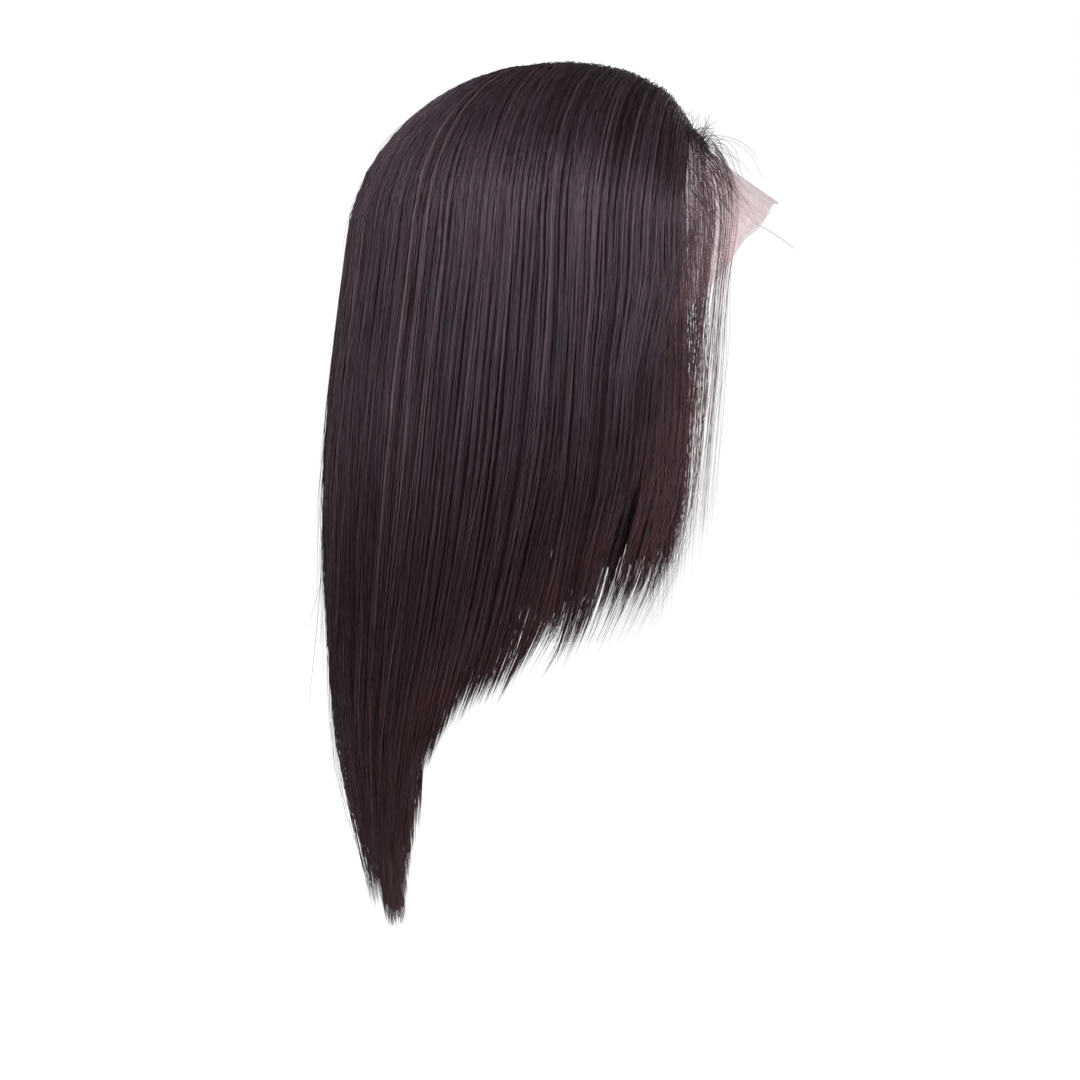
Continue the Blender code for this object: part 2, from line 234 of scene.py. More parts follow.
# %% Sizes of the head, the cap and the hair
HEAD_HALF_WIDTH = 0.079
HEAD_HALF_LENGTH = 0.095
HEAD_CENTRE_Y = -0.004
HEAD_RISE = 0.090
HEAD_DROP = 0.150
WIDEST_Z = -HEAD_RISE
CAP_PAD = 0.0013
BAND_THICK = 0.0010
BAND_SHARE = 0.2
HAIR_PAD = 0.0038
NAPE_HAIR_PAD = 0.0030

Arch = namedtuple("Arch", "place end_y end_z top_deg")
LACE_ARCHES = (
    Arch("forehead", -0.066, -0.124, 35.5),
    Arch("parting", -0.036, -0.121, 66.0),
    Arch("seam", -0.016, -0.109, 96.0),
)
CAP_ARCHES = (
    Arch("seam", -0.016, -0.109, 96.0),
    Arch("crown", -0.003, -0.104, 118.0),
    Arch("back", 0.015, -0.110, 146.0),
    Arch("occiput", 0.033, -0.130, 177.0),
    Arch("nape", 0.047, -0.152, 211.0),
)
PEAK_TIP_Y = -0.1206
PEAK_TIP_Z = -0.0634
PEAK_END_X = 0.050
PEAK_END_Y = -0.074
PEAK_END_Z = -0.121
PEAK_SHARE = 0.34

Level = namedtuple("Level", "z half_width back_y square front groove side_back left_front nape")
LEVELS = (
    Level(-0.090, 0.0830, 0.0955, 2.0, -0.081, -0.016, 0.040, -0.081, 0.036),
    Level(-0.146, 0.0845, 0.1005, 2.1, -0.082, -0.014, 0.046, -0.083, 0.040),
    Level(-0.208, 0.0850, 0.1035, 2.3, -0.077, -0.010, 0.051, -0.082, 0.048),
    Level(-0.245, 0.0850, 0.1030, 2.4, -0.067, -0.004, 0.055, -0.075, 0.052),
    Level(-0.280, 0.0840, 0.1015, 2.5, -0.053, 0.005, 0.060, -0.062, 0.056),
    Level(-0.312, 0.0825, 0.1000, 2.7, -0.035, 0.018, 0.066, -0.044, 0.060),
    Level(-0.346, 0.0795, 0.0975, 2.9, -0.014, 0.035, 0.072, -0.020, 0.064),
    Level(-0.433, 0.0700, 0.0870, 3.2, 0.030, 0.062, 0.083, 0.030, 0.068),
)
FRONT_REACH = 0.1043
DOME_SHARE = 0.4
BACK_FLOW_FROM_DEG = 110.0

Edge = namedtuple("Edge", "column root_x root_y hem_z root_thick thick")
RIGHT_EDGES = {
    "front": Edge("front", 0.0007, -0.080, -0.240, 0.0012, 0.0024),
    "groove": Edge("groove", 0.0007, -0.044, -0.300, 0.0085, 0.0090),
    "side_back": Edge("side_back", 0.0020, 0.000, -0.380, 0.0048, 0.0100),
    "centre": Edge("centre", 0.0000, 0.003, -0.418, 0.0044, 0.0115),
}
LEFT_EDGES = dict(RIGHT_EDGES, front=Edge("left_front", 0.0007, -0.080, -0.270, 0.0012, 0.0024))
Panel = namedtuple("Panel", "name first last locks hem_bow thick_reach")
FRONT_HAIR = Panel("front_hair", "front", "groove", 5, 1.0, 0.6)
SIDE_HAIR = Panel("side_hair", "groove", "side_back", 6, 1.3, 1.0)
BACK_HAIR = Panel("back_hair", "side_back", "centre", 4.5, 1.0, 1.0)
NAPE_LOCKS = 8
NAPE_ROOT_Z = -0.158
NAPE_TIP_Z = -0.433
NAPE_SIDE_TIP_Z = -0.388
NAPE_THICK = 0.0095
NAPE_INSET = 0.0135
NAPE_SETTLE_SHARE = 0.3
NAPE_SIDE_THINNING = 0.6
LOCK_STAGGER = 0.006
LOCK_STAGGER_TURN = 2.4
LOCK_STAGGER_START = 0.7
VALLEY_THICK = 0.72

Swell = namedtuple("Swell", "along share")
HANGING_SWELL = (
    Swell(0.00, 0.76),
    Swell(0.25, 1.06),
    Swell(0.55, 1.20),
    Swell(0.85, 0.95),
    Swell(1.00, 0.20),
)
NAPE_SWELL = (Swell(0.0, 0.25), Swell(0.3, 1.0), Swell(0.8, 1.0), Swell(1.0, 0.20))
print("levels of the hanging hair:", len(LEVELS))

# %% [markdown]
# A table gives a few values, and hair needs them everywhere. Straight lines between them would
# show as kinks in the sheen, so each stretch is a cubic that leaves with its neighbours' slope.

# %% Read smooth curves from the tables
def lerp(a, b, share):
    return a + (b - a) * share


def smooth(share):
    """Eases from 0 to 1, for one number or an array."""
    share = np.clip(share, 0.0, 1.0)
    return share * share * (3 - 2 * share)


def curve(keys, values, at):
    """A smooth curve through values at rising keys, read at one place."""
    at = min(max(at, keys[0]), keys[-1])
    i = next(n for n in range(len(keys) - 1) if at <= keys[n + 1])
    slopes = [(values[n + 1] - values[n]) / (keys[n + 1] - keys[n]) for n in range(len(keys) - 1)]
    before = slopes[i] if i == 0 else (slopes[i - 1] + slopes[i]) / 2
    after = slopes[i] if i == len(slopes) - 1 else (slopes[i] + slopes[i + 1]) / 2
    span = keys[i + 1] - keys[i]
    t = (at - keys[i]) / span
    return (
        (1 + 2 * t) * (1 - t) ** 2 * values[i]
        + t * (1 - t) ** 2 * span * before
        + t * t * (3 - 2 * t) * values[i + 1]
        + t * t * (t - 1) * span * after
    )


def level(column, z):
    """A column of the table of levels, read at one height."""
    return curve([-row.z for row in LEVELS], [getattr(row, column) for row in LEVELS], -z)


def swell(rows, along):
    """A table of swells, read at one share of the length."""
    return curve([row.along for row in rows], [row.share for row in rows], along)


def arch_value(arches, column, along):
    """A column of a table of arches, which lie at equal steps."""
    steps = [n / (len(arches) - 1) for n in range(len(arches))]
    return curve(steps, [getattr(arch, column) for arch in arches], along)


print("section half width at the chin:", round(level("half_width", -0.208), 4))

# %% [markdown]
# Every place on the cap has two shares, from ear to ear and from front to back. The head's
# profile gives its height, and the ellipsoid gives how far it lies to the side.

# %% Find points on the head, the lace and the cap
def head_profile(angle_deg, pad):
    """A point of the padded head's profile in the side view, as (y, z)."""
    angle = math.radians(angle_deg)
    height = HEAD_RISE if angle_deg <= 180 else HEAD_DROP
    y = HEAD_CENTRE_Y - (HEAD_HALF_LENGTH + pad) * math.cos(angle)
    return y, WIDEST_Z + (height + pad) * math.sin(angle)


def head_half_width(y, z, pad):
    """How far the padded head reaches to the side of a place in the side view."""
    height = HEAD_RISE if z > WIDEST_Z else HEAD_DROP
    along = (y - HEAD_CENTRE_Y) / (HEAD_HALF_LENGTH + pad)
    up = (z - WIDEST_Z) / (height + pad)
    return (HEAD_HALF_WIDTH + pad) * math.sqrt(max(0.0, 1 - along * along - up * up))


def arch_point(arches, along, across, pad):
    """A point of the cap: along runs from the first arch to the last, across from ear to ear."""
    top_y, top_z = head_profile(arch_value(arches, "top_deg", along), pad)
    share = math.cos(across * math.pi / 2)
    y = lerp(arch_value(arches, "end_y", along), top_y, share)
    z = lerp(arch_value(arches, "end_z", along), top_z, share)
    x = head_half_width(y, z, pad) if across else 0.0
    return math.copysign(x, across), y, z


def lace_point(across, along, pad):
    """A point of the lace: along runs from its uncut front edge over the hairline to the seam."""
    if along >= PEAK_SHARE:
        return arch_point(LACE_ARCHES, (along - PEAK_SHARE) / (1 - PEAK_SHARE), across, pad)
    root = arch_point(LACE_ARCHES, 0.0, across, pad)
    share = math.cos(across * math.pi / 2)
    tip_x = PEAK_END_X * math.sin(across * math.pi / 2)
    tip = tip_x, lerp(PEAK_END_Y, PEAK_TIP_Y, share), lerp(PEAK_END_Z, PEAK_TIP_Z, share)
    reach = 1 - along / PEAK_SHARE
    return tuple(lerp(a, b, reach) for a, b in zip(root, tip))


print("hairline in the middle of the forehead:", lace_point(0.0, PEAK_SHARE, CAP_PAD))

# %% [markdown]
# Hair flows from the parting over the dome of the head and then hangs. A place in it has three
# shares: across its panel, along its length, and deep, from the scalp side to the outside.

# %% Follow the flow of the hair
def hair_section(z, half_width, back_y, angle):
    """A point of the hanging hair's section at one level. The angle is 0 at the face."""
    x = half_width * math.sin(angle)
    if angle <= math.pi / 2:
        return x, HEAD_CENTRE_Y - FRONT_REACH * math.cos(angle), z
    power = 2 / level("square", z)
    x = half_width * math.sin(angle) ** power
    return x, HEAD_CENTRE_Y + (back_y - HEAD_CENTRE_Y) * abs(math.cos(angle)) ** power, z


def edge_angle(column, z, inset=0.0):
    """The section angle at which a panel's edge lies at one level."""
    if column == "centre":
        return math.pi
    y = level(column, z) - HEAD_CENTRE_Y
    if y < 0:
        return math.acos(-y / FRONT_REACH)
    power = level("square", z) / 2
    reach = level("back_y", z) - inset - HEAD_CENTRE_Y
    return math.acos(-(min(y / reach, 1.0) ** power))


def dome_point(angle, root_x, root_y, along):
    """A point of the hair that lies on the head, from the parting at 0 to the widest level at 1."""
    lowest = LEVELS[0]
    reach = HEAD_HALF_LENGTH + HAIR_PAD
    root_n = (root_y - HEAD_CENTRE_Y) / reach
    across_n = root_x / lowest.half_width
    start = (across_n, root_n, math.sqrt(1 - root_n * root_n - across_n * across_n))
    end = (math.sin(angle), -math.cos(angle), 0.0)
    turn = math.acos(sum(a * b for a, b in zip(start, end)))
    near = math.sin((1 - along) * turn) / math.sin(turn)
    far = math.sin(along * turn) / math.sin(turn)
    x, fanned_y, z = (near * a + far * b for a, b in zip(start, end))
    combed_y = lerp(start[1], end[1], math.sin(along * math.pi / 2))
    fan = smooth((math.degrees(angle) - BACK_FLOW_FROM_DEG) / (180 - BACK_FLOW_FROM_DEG))
    y = lerp(combed_y, fanned_y, fan)
    shrink = math.sqrt(max(0.0, 1 - y * y) / max(x * x + z * z, 1e-12))
    final_reach = FRONT_REACH if y < 0 else lowest.back_y - HEAD_CENTRE_Y
    return (
        x * shrink * lowest.half_width,
        HEAD_CENTRE_Y + y * lerp(reach, final_reach, smooth(along)),
        WIDEST_Z + z * shrink * (HEAD_RISE + HAIR_PAD),
    )


def fall_point(first, last, share, hem_z, along):
    """A point of the hair's inner side between two edges, on the wearer's left."""
    hanging = (along - DOME_SHARE) / (1 - DOME_SHARE)
    z = lerp(WIDEST_Z, hem_z, max(hanging, 0.0))
    angle = lerp(edge_angle(first.column, z), edge_angle(last.column, z), share)
    angle = min(angle, math.pi)
    if hanging > 0:
        return hair_section(z, level("half_width", z), level("back_y", z), angle)
    root_x = lerp(first.root_x, last.root_x, share)
    root_y = lerp(first.root_y, last.root_y, share)
    return dome_point(angle, root_x, root_y, along / DOME_SHARE)


def fall_thickness(first, last, share, along):
    """Thickness of the hair between two edges, before its locks are cut into it."""
    root = lerp(first.root_thick, last.root_thick, share)
    body = lerp(first.thick, last.thick, share)
    if along < DOME_SHARE:
        return lerp(root, body * HANGING_SWELL[0].share, smooth(along / DOME_SHARE) ** 2)
    hanging = (along - DOME_SHARE) / (1 - DOME_SHARE)
    return body * swell(HANGING_SWELL, hanging)


def nape_place(across, along):
    """A point of the inner side of the layer that hangs from the nape, across from -1 to 1."""
    side = abs(across)
    tip_z = lerp(NAPE_TIP_Z, NAPE_SIDE_TIP_Z, side * side)
    z = lerp(NAPE_ROOT_Z, tip_z, along)
    on_cap = 1 - smooth(along / NAPE_SETTLE_SHARE)
    angle = lerp(math.pi, edge_angle("nape", z, NAPE_INSET), side)
    half_width = level("half_width", z) - NAPE_INSET
    x, y, z = hair_section(z, half_width, level("back_y", z) - NAPE_INSET, angle)
    narrow = math.sqrt(1 - ((NAPE_ROOT_Z - WIDEST_Z) / (HEAD_DROP + NAPE_HAIR_PAD)) ** 2)
    cap_x = (HEAD_HALF_WIDTH + NAPE_HAIR_PAD) * narrow * math.sin(angle)
    cap_y = HEAD_CENTRE_Y - (HEAD_HALF_LENGTH + NAPE_HAIR_PAD) * narrow * math.cos(angle)
    return math.copysign(lerp(x, cap_x, on_cap), across), lerp(y, cap_y, on_cap), z


print("a side strand leaves the head at", fall_point(*list(RIGHT_EDGES.values())[1:3], 0.5, -0.34, 0.4))

# %% [markdown]
# Working out each of many thousand strands point by point would be slow. So every panel is
# measured once on a grid of places, as its inner side and the way out through its thickness,
# and strands are then read from that grid by array arithmetic.

# %% Measure the panels on grids
FIELD_SHARES = np.linspace(-0.12, 1.06, 30)
FIELD_ALONGS = np.concatenate([np.linspace(0, DOME_SHARE, 15), np.linspace(DOME_SHARE, 1.08, 25)[1:]])
NAPE_SHARES = np.linspace(0.0, 1.0, 29)
NAPE_ALONGS = np.linspace(0.0, 1.06, 26)
Field = namedtuple("Field", "shares alongs inner outward width locks")
Flow = namedtuple("Flow", "hanging_from width_row locks side")


def outward_normals(inner, alongs, hanging_from):
    """Unit directions out of a panel: the head's own on the dome, the surface's own below."""
    across = np.gradient(inner, axis=0)
    down = np.gradient(inner, axis=1)
    normal = np.cross(across, down)
    middle = np.array([0.0, HEAD_CENTRE_Y, 0.0])
    away = (inner - middle) * np.array([1.0, 1.0, 0.0])
    normal *= np.sign((normal * away).sum(-1, keepdims=True))
    normal /= np.maximum(np.linalg.norm(normal, axis=-1, keepdims=True), 1e-9)
    size = np.array([HEAD_HALF_WIDTH, HEAD_HALF_LENGTH, HEAD_RISE])
    dome = (inner - np.array([0.0, HEAD_CENTRE_Y, WIDEST_Z])) / size**2
    dome /= np.maximum(np.linalg.norm(dome, axis=-1, keepdims=True), 1e-9)
    hanging = smooth(alongs / hanging_from)[None, :, None]
    mixed = lerp(dome, normal, hanging)
    return mixed / np.linalg.norm(mixed, axis=-1, keepdims=True)


def measure(shares, alongs, place, flow):
    """A grid of places and thicknesses. The flow says where it hangs, its width, locks and side."""
    inner = np.empty((len(shares), len(alongs), 3))
    thick = np.empty(inner.shape[:2])
    for i, share in enumerate(shares):
        for j, along in enumerate(alongs):
            inner[i, j], thick[i, j] = place(share, along)
    outward = outward_normals(inner, alongs, flow.hanging_from) * thick[..., None]
    turn = np.array([flow.side, 1.0, 1.0])
    width = np.linalg.norm(np.diff(inner[:, flow.width_row], axis=0), axis=-1).sum()
    return Field(shares, alongs, inner * turn, outward * turn, width, flow.locks)


def panel_field(panel, edges, side):
    """The grid of one panel on one side: -1 is the wearer's right and 1 the left."""
    first, last = edges[panel.first], edges[panel.last]

    def place(share, along):
        held = min(max(share, 0.0), 1.0)
        hem_z = lerp(first.hem_z, last.hem_z, held**panel.hem_bow)
        reach = smooth(held / panel.thick_reach) if panel.thick_reach < 1 else held
        return fall_point(first, last, share, hem_z, along), fall_thickness(first, last, reach, along)

    return measure(FIELD_SHARES, FIELD_ALONGS, place, Flow(DOME_SHARE, 18, panel.locks, side))


def nape_field():
    """The grid of the layer from the nape, which runs from the right side to the left."""

    def place(share, along):
        across = 2 * share - 1
        side = 1 - NAPE_SIDE_THINNING * across**2
        return nape_place(across, along), NAPE_THICK * side * swell(NAPE_SWELL, along)

    return measure(NAPE_SHARES, NAPE_ALONGS, place, Flow(0.05, 12, NAPE_LOCKS, 1.0))


fields = {"nape_hair": nape_field()}
for side_name, side, edges in (("right", -1, RIGHT_EDGES), ("left", 1, LEFT_EDGES)):
    for panel in (FRONT_HAIR, SIDE_HAIR, BACK_HAIR):
        fields[f"{panel.name}_{side_name}"] = panel_field(panel, edges, side)
for name, field in fields.items():
    print(f"{name}: {field.width * 1000:.0f} mm wide")

# %% [markdown]
# Reading a grid means mixing the four places around the wanted one. Between two locks the hair
# is a little thinner, which leaves the shallow grooves that are seen from the side.

# %% Read places from a grid
VALLEY_START = 0.34
VALLEY_GROW = 0.25


def read_grid(field, values, share, along):
    """Values of a grid at arrays of shares across and along, mixed from their neighbours."""
    u = np.interp(share, field.shares, np.arange(len(field.shares)))
    v = np.interp(along, field.alongs, np.arange(len(field.alongs)))
    i = np.minimum(u.astype(int), len(field.shares) - 2)
    j = np.minimum(v.astype(int), len(field.alongs) - 2)
    u = (u - i)[..., None]
    v = (v - j)[..., None]
    near = lerp(values[i, j], values[i + 1, j], u)
    return lerp(near, lerp(values[i, j + 1], values[i + 1, j + 1], u), v)


def hair_place(field, share, along, deep):
    """Points of the hair, with the grooves between its locks and its thin panel edges."""
    in_lock = np.mod(share * field.locks, 1.0)
    valley = smooth((np.abs(in_lock - 0.5) - VALLEY_START) / (0.5 - VALLEY_START))
    valley *= smooth(along / VALLEY_GROW)
    full = lerp(1.0, VALLEY_THICK, valley)
    out = read_grid(field, field.outward, share, along)
    return read_grid(field, field.inner, share, along) + out * (deep * full)[..., None]


print("grids:", sorted(fields))

# %% [markdown]
# ## Materials
#
# Hair is dark, smooth and narrow, so its sheen is a broad streak across many strands. Every
# strand carries one strip of a small map. Across the map the tone goes from near black to
# warm brown, and along it from root to tip, so a strand's tone is chosen by its strip.

# %% Mixes and groups
TONES = 32


def mix_colour(tree, share, first, second):
    """A mix of two colours or colour sockets by a share, returned as its output."""
    first, second = ((*c, 1.0) if isinstance(c, tuple) else c for c in (first, second))
    return add_node(tree, "Mix", {0: share, 6: first, 7: second}, data_type="RGBA").outputs[2]


def ramp(tree, value, reads, gives):
    """A smooth step between two values over a range, returned as its output."""
    inputs = {"Value": value, "From Min": reads[0], "From Max": reads[1]}
    inputs.update({"To Min": gives[0], "To Max": gives[1]})
    return add_node(tree, "MapRange", inputs, interpolation_type="SMOOTHSTEP").outputs["Result"]


def add_bump(tree, shader, height, strength, distance):
    """Relief from a height."""
    relief = add_node(tree, "Bump", {"Height": height, "Strength": strength, "Distance": distance})
    tree.links.new(relief.outputs["Normal"], shader.inputs["Normal"])


def new_group(name, inputs, outputs):
    """A shader node group with named sockets, and its two ends."""
    group = bpy.data.node_groups.new(name, "ShaderNodeTree")
    for socket, kind in inputs.items():
        group.interface.new_socket(socket, in_out="INPUT", socket_type=f"NodeSocket{kind}")
    for socket, kind in outputs.items():
        group.interface.new_socket(socket, in_out="OUTPUT", socket_type=f"NodeSocket{kind}")
    return group, group.nodes.new("NodeGroupInput").outputs, group.nodes.new("NodeGroupOutput")


print("tones of hair:", TONES)

# %% [markdown]
# Both hair materials use one group. It gives a colour and a roughness from a tone and a place
# along the hair. Shade is painted into the colour: the root is darker, and so is the hair low
# down, where other hair hangs over it. The tips are redder, where hair is oldest: partly their
# own colour and partly painted light that shines through them.

# %% Make the tone of hair and its painted shade
DEEP_HAIR = (0.0055, 0.0028, 0.0038)
COOL_HAIR = (0.045, 0.0275, 0.0380)
WARM_HAIR = (0.120, 0.072, 0.082)
TIP_HAIR = (0.20, 0.068, 0.055)
ROOT_SHADE = 0.50
ROOT_END = 0.30
LOW_SHADE = 0.20
LOW_RANGE = (0.58, 0.78)
TIP_START = 0.80
TIP_BY_TONE = (0.70, 0.12)
STREAK_SCALE = 37.0
STREAK_SLIDE = 0.2
STREAK_ROUGHNESS = (0.30, 0.22)

hair_tone_and_shade, given, result = new_group(
    "hair_tone_and_shade", {"Tone": "Float", "Along": "Float"}, {"Colour": "Color", "Roughness": "Float"}
)
cool_share = maths(hair_tone_and_shade, "MULTIPLY", given["Tone"], 2.0, clamp=True)
warm_share = maths(hair_tone_and_shade, "MULTIPLY_ADD", given["Tone"], 2.0, -1.0, clamp=True)
body_colour = mix_colour(hair_tone_and_shade, cool_share, DEEP_HAIR, COOL_HAIR)
body_colour = mix_colour(hair_tone_and_shade, warm_share, body_colour, WARM_HAIR)
# Painted shade: the colour is darker towards the root and low down along the hair.
root_light = ramp(hair_tone_and_shade, given["Along"], (0.0, ROOT_END), (ROOT_SHADE, 1.0))
low_light = ramp(hair_tone_and_shade, given["Along"], LOW_RANGE, (1.0, LOW_SHADE))
lit_share = maths(hair_tone_and_shade, "MULTIPLY", root_light, low_light)
shaded_colour = mix_colour(hair_tone_and_shade, lit_share, DEEP_HAIR, body_colour)
# Redder tips: partly the hair's own colour, partly painted light shining through them.
near_tip = maths(hair_tone_and_shade, "SUBTRACT", given["Along"], TIP_START)
near_tip = maths(hair_tone_and_shade, "MULTIPLY", near_tip, 1 / (1 - TIP_START), clamp=True)
tip_tone = maths(hair_tone_and_shade, "MULTIPLY_ADD", given["Tone"], *TIP_BY_TONE)
tip_share = maths(hair_tone_and_shade, "MULTIPLY", near_tip, tip_tone)
slide = maths(hair_tone_and_shade, "MULTIPLY", given["Along"], STREAK_SLIDE)
streak_inputs = {"W": maths(hair_tone_and_shade, "ADD", given["Tone"], slide), "Scale": STREAK_SCALE}
streak = add_node(hair_tone_and_shade, "TexNoise", streak_inputs, noise_dimensions="1D")
rough = maths(hair_tone_and_shade, "MULTIPLY_ADD", streak.outputs["Fac"], *STREAK_ROUGHNESS)
colour = mix_colour(hair_tone_and_shade, tip_share, shaded_colour, TIP_HAIR)
fill(hair_tone_and_shade, result, {"Colour": colour, "Roughness": rough})
print("hair tone group:", len(hair_tone_and_shade.nodes), "nodes")

# %% [markdown]
# A strand finds its tone in the strip of the map that it lies in. Rounding the place across
# the map down to whole strips keeps one strand one tone all round.

# %% Finish of the strands
STRAND_SPECULAR = 0.62
SHEEN_TINT = (1.0, 0.76, 0.95, 1.0)

strand_hair, tree, shader = new_material("hair_strands", 0.38)
strip = add_node(tree, "UVMap", uv_map="OFBake").outputs["UV"]
parts = add_node(tree, "SeparateXYZ", {"Vector": strip}).outputs
whole = maths(tree, "FLOOR", maths(tree, "MULTIPLY", parts["X"], float(TONES)))
tone = maths(tree, "DIVIDE", whole, float(TONES - 1))
toned = add_node(tree, "Group", {"Tone": tone, "Along": parts["Y"]}, node_tree=hair_tone_and_shade)
fill(tree, shader, {"Base Color": toned.outputs["Colour"], "Roughness": toned.outputs["Roughness"]})
fill(tree, shader, {"Specular IOR Level": STRAND_SPECULAR, "Specular Tint": SHEEN_TINT})
print("strands finished with", strand_hair.name)

# %% [markdown]
# Behind the loose strands lies a packed mass. It is only seen through gaps, so its strands are
# a fine streaked bump that follows the hair downwards, in the darker tones: painted shade of the
# inside of the hair.

# %% Finish of the imported mass
MASS_STRANDS = (900.0, 9.0, 1.0)
MASS_SHADE_TONE = 0.5
MASS_ALONG = 0.5
MASS_SPECULAR = 0.04

mass_hair, tree, shader = new_material("hair_mass", 0.80)
flow_map = add_node(tree, "UVMap", uv_map="flow").outputs["UV"]
stretch = add_node(tree, "Mapping", {"Vector": flow_map, "Scale": MASS_STRANDS})
noise_inputs = {"Vector": stretch.outputs["Vector"], "Scale": 1.0, "Detail": 3.0}
strands_noise = add_node(tree, "TexNoise", noise_inputs).outputs["Fac"]
# Painted shade: the mass keeps to the darker half of the tones.
tone = maths(tree, "MULTIPLY", strands_noise, MASS_SHADE_TONE)
toned = add_node(tree, "Group", {"Tone": tone, "Along": MASS_ALONG}, node_tree=hair_tone_and_shade)
fill(tree, shader, {"Base Color": toned.outputs["Colour"], "Specular IOR Level": MASS_SPECULAR})
add_bump(tree, shader, strands_noise, 0.8, 0.0006)
print("masses finished with", mass_hair.name)

# %% [markdown]
# Lace for a wig is a net of six-sided holes, under a millimetre wide, in a thread the colour
# of skin. The holes are holes: the material's alpha is the thread, worked out from the nearest
# middle of a cell on two rectangular grids, half a step apart. A dark line of painted shade runs
# along the lace's middle, where it is seen edge-on from the side.

# %% Finish of the lace
LACE_CELL = 0.0011
LACE_THREAD_SHARE = 0.17
THREAD_EDGE = 14.0
LACE_COLOUR = (0.70, 0.40, 0.45)
LACE_WORN = (0.66, 0.38, 0.42)
LACE_BLOTCH = 25.0
EDGE_ON_SHADE_COLOUR = (0.20, 0.085, 0.070)
EDGE_ON_SHADE_HALF_WIDTH = 0.0011
EDGE_ON_SHADE_STRENGTH = 0.85
CLOTH_SPECULAR = 0.3
FAR_CELLS = 1000


def vector_maths(tree, operation, *vectors):
    """A Vector Math node between sockets or vectors, returned as its output."""
    inputs = dict(enumerate(vectors))
    return add_node(tree, "VectorMath", inputs, operation=operation).outputs["Vector"]


def hexagon_distance(tree, vector, cell):
    """How near a place on a map in metres is to the edge of its hexagon: 0.5 on the edge."""
    step = (cell, cell * math.sqrt(3.0), 1.0)
    nearest = []
    for shift in (0.0, 0.5):
        start = [FAR_CELLS * size + shift * size for size in step[:2]]
        moved = vector_maths(tree, "ADD", vector, (*start, 0))
        wrapped = vector_maths(tree, "MODULO", moved, step)
        centred = vector_maths(tree, "SUBTRACT", wrapped, (step[0] / 2, step[1] / 2, 0))
        away = vector_maths(tree, "ABSOLUTE", centred)
        parts = add_node(tree, "SeparateXYZ", {"Vector": away}).outputs
        slanted = maths(tree, "MULTIPLY", parts["Y"], math.sqrt(3.0) / 2)
        slanted = maths(tree, "ADD", slanted, maths(tree, "MULTIPLY", parts["X"], 0.5))
        nearest.append(maths(tree, "MAXIMUM", parts["X"], slanted))
    return maths(tree, "DIVIDE", maths(tree, "MINIMUM", *nearest), cell)


lace_finish, tree, shader = new_material("lace_net", 0.75)
cloth_map = add_node(tree, "UVMap", uv_map="cloth").outputs["UV"]
from_middle = hexagon_distance(tree, cloth_map, LACE_CELL)
thread = maths(tree, "SUBTRACT", from_middle, 0.5 - LACE_THREAD_SHARE / 2)
thread = maths(tree, "MULTIPLY", thread, THREAD_EDGE, clamp=True)
blotch = add_node(tree, "TexNoise", {"Scale": LACE_BLOTCH}).outputs["Fac"]
# Painted shade: a dark, nearly opaque line along the lace's middle, where a side view sees it edge-on.
from_lace_middle = add_node(tree, "SeparateXYZ", {"Vector": cloth_map}).outputs["X"]
from_lace_middle = maths(tree, "ABSOLUTE", from_lace_middle)
edge_on_shade = ramp(tree, from_lace_middle, (0.0, EDGE_ON_SHADE_HALF_WIDTH), (EDGE_ON_SHADE_STRENGTH, 0.0))
lace_colour = mix_colour(tree, blotch, LACE_COLOUR, LACE_WORN)
lace_colour = mix_colour(tree, edge_on_shade, lace_colour, EDGE_ON_SHADE_COLOUR)
alpha = maths(tree, "MAXIMUM", thread, edge_on_shade)
fill(tree, shader, {"Base Color": lace_colour, "Alpha": alpha, "Specular IOR Level": CLOTH_SPECULAR})
add_bump(tree, shader, thread, 0.4, 0.0002)
print(f"a hole of the net is {LACE_CELL * 1000:.1f} mm wide")

# %% [markdown]
# The cap behind the lace is a fine dark stretch knit, and the band at the nape is woven
# elastic. Both show fine ribs, so they share one group that turns a map in metres into ribs
# and cross threads, each at its own scale.

# %% Finish of the cap and the band
RIB_FLOOR = 0.6
PATCH_SCALE = 140.0

ribbed_takes = {"Map": "Vector", "Rib": "Float", "Cross": "Float"}
ribbed, given, result = new_group("ribbed_cloth", ribbed_takes, {"Height": "Float", "Wear": "Float"})
parts = add_node(ribbed, "SeparateXYZ", {"Vector": given["Map"]}).outputs
waves = []
for axis, size in (("X", "Rib"), ("Y", "Cross")):
    turn = maths(ribbed, "MULTIPLY", maths(ribbed, "DIVIDE", parts[axis], given[size]), math.pi)
    waves.append(maths(ribbed, "ABSOLUTE", maths(ribbed, "SINE", turn)))
height = maths(ribbed, "MULTIPLY", waves[0], maths(ribbed, "ADD", waves[1], RIB_FLOOR))
patches = add_node(ribbed, "TexNoise", {"Vector": given["Map"], "Scale": PATCH_SCALE}).outputs["Fac"]
fill(ribbed, result, {"Height": height, "Wear": patches})


def ribbed_finish(name, dark, light, rib, cross, roughness):
    """Ribbed dark cloth, with its light tone on top of the ribs."""
    made, tree, shader = new_material(name, roughness)
    cloth = add_node(tree, "UVMap", uv_map="cloth").outputs["UV"]
    weave = add_node(tree, "Group", {"Map": cloth, "Rib": rib, "Cross": cross}, node_tree=ribbed).outputs
    # The tops of the ribs are lighter in patches.
    raised = maths(tree, "MULTIPLY", weave["Height"], weave["Wear"])
    colour = mix_colour(tree, raised, dark, light)
    fill(tree, shader, {"Base Color": colour, "Specular IOR Level": CLOTH_SPECULAR})
    add_bump(tree, shader, weave["Height"], 0.7, 0.0003)
    return made


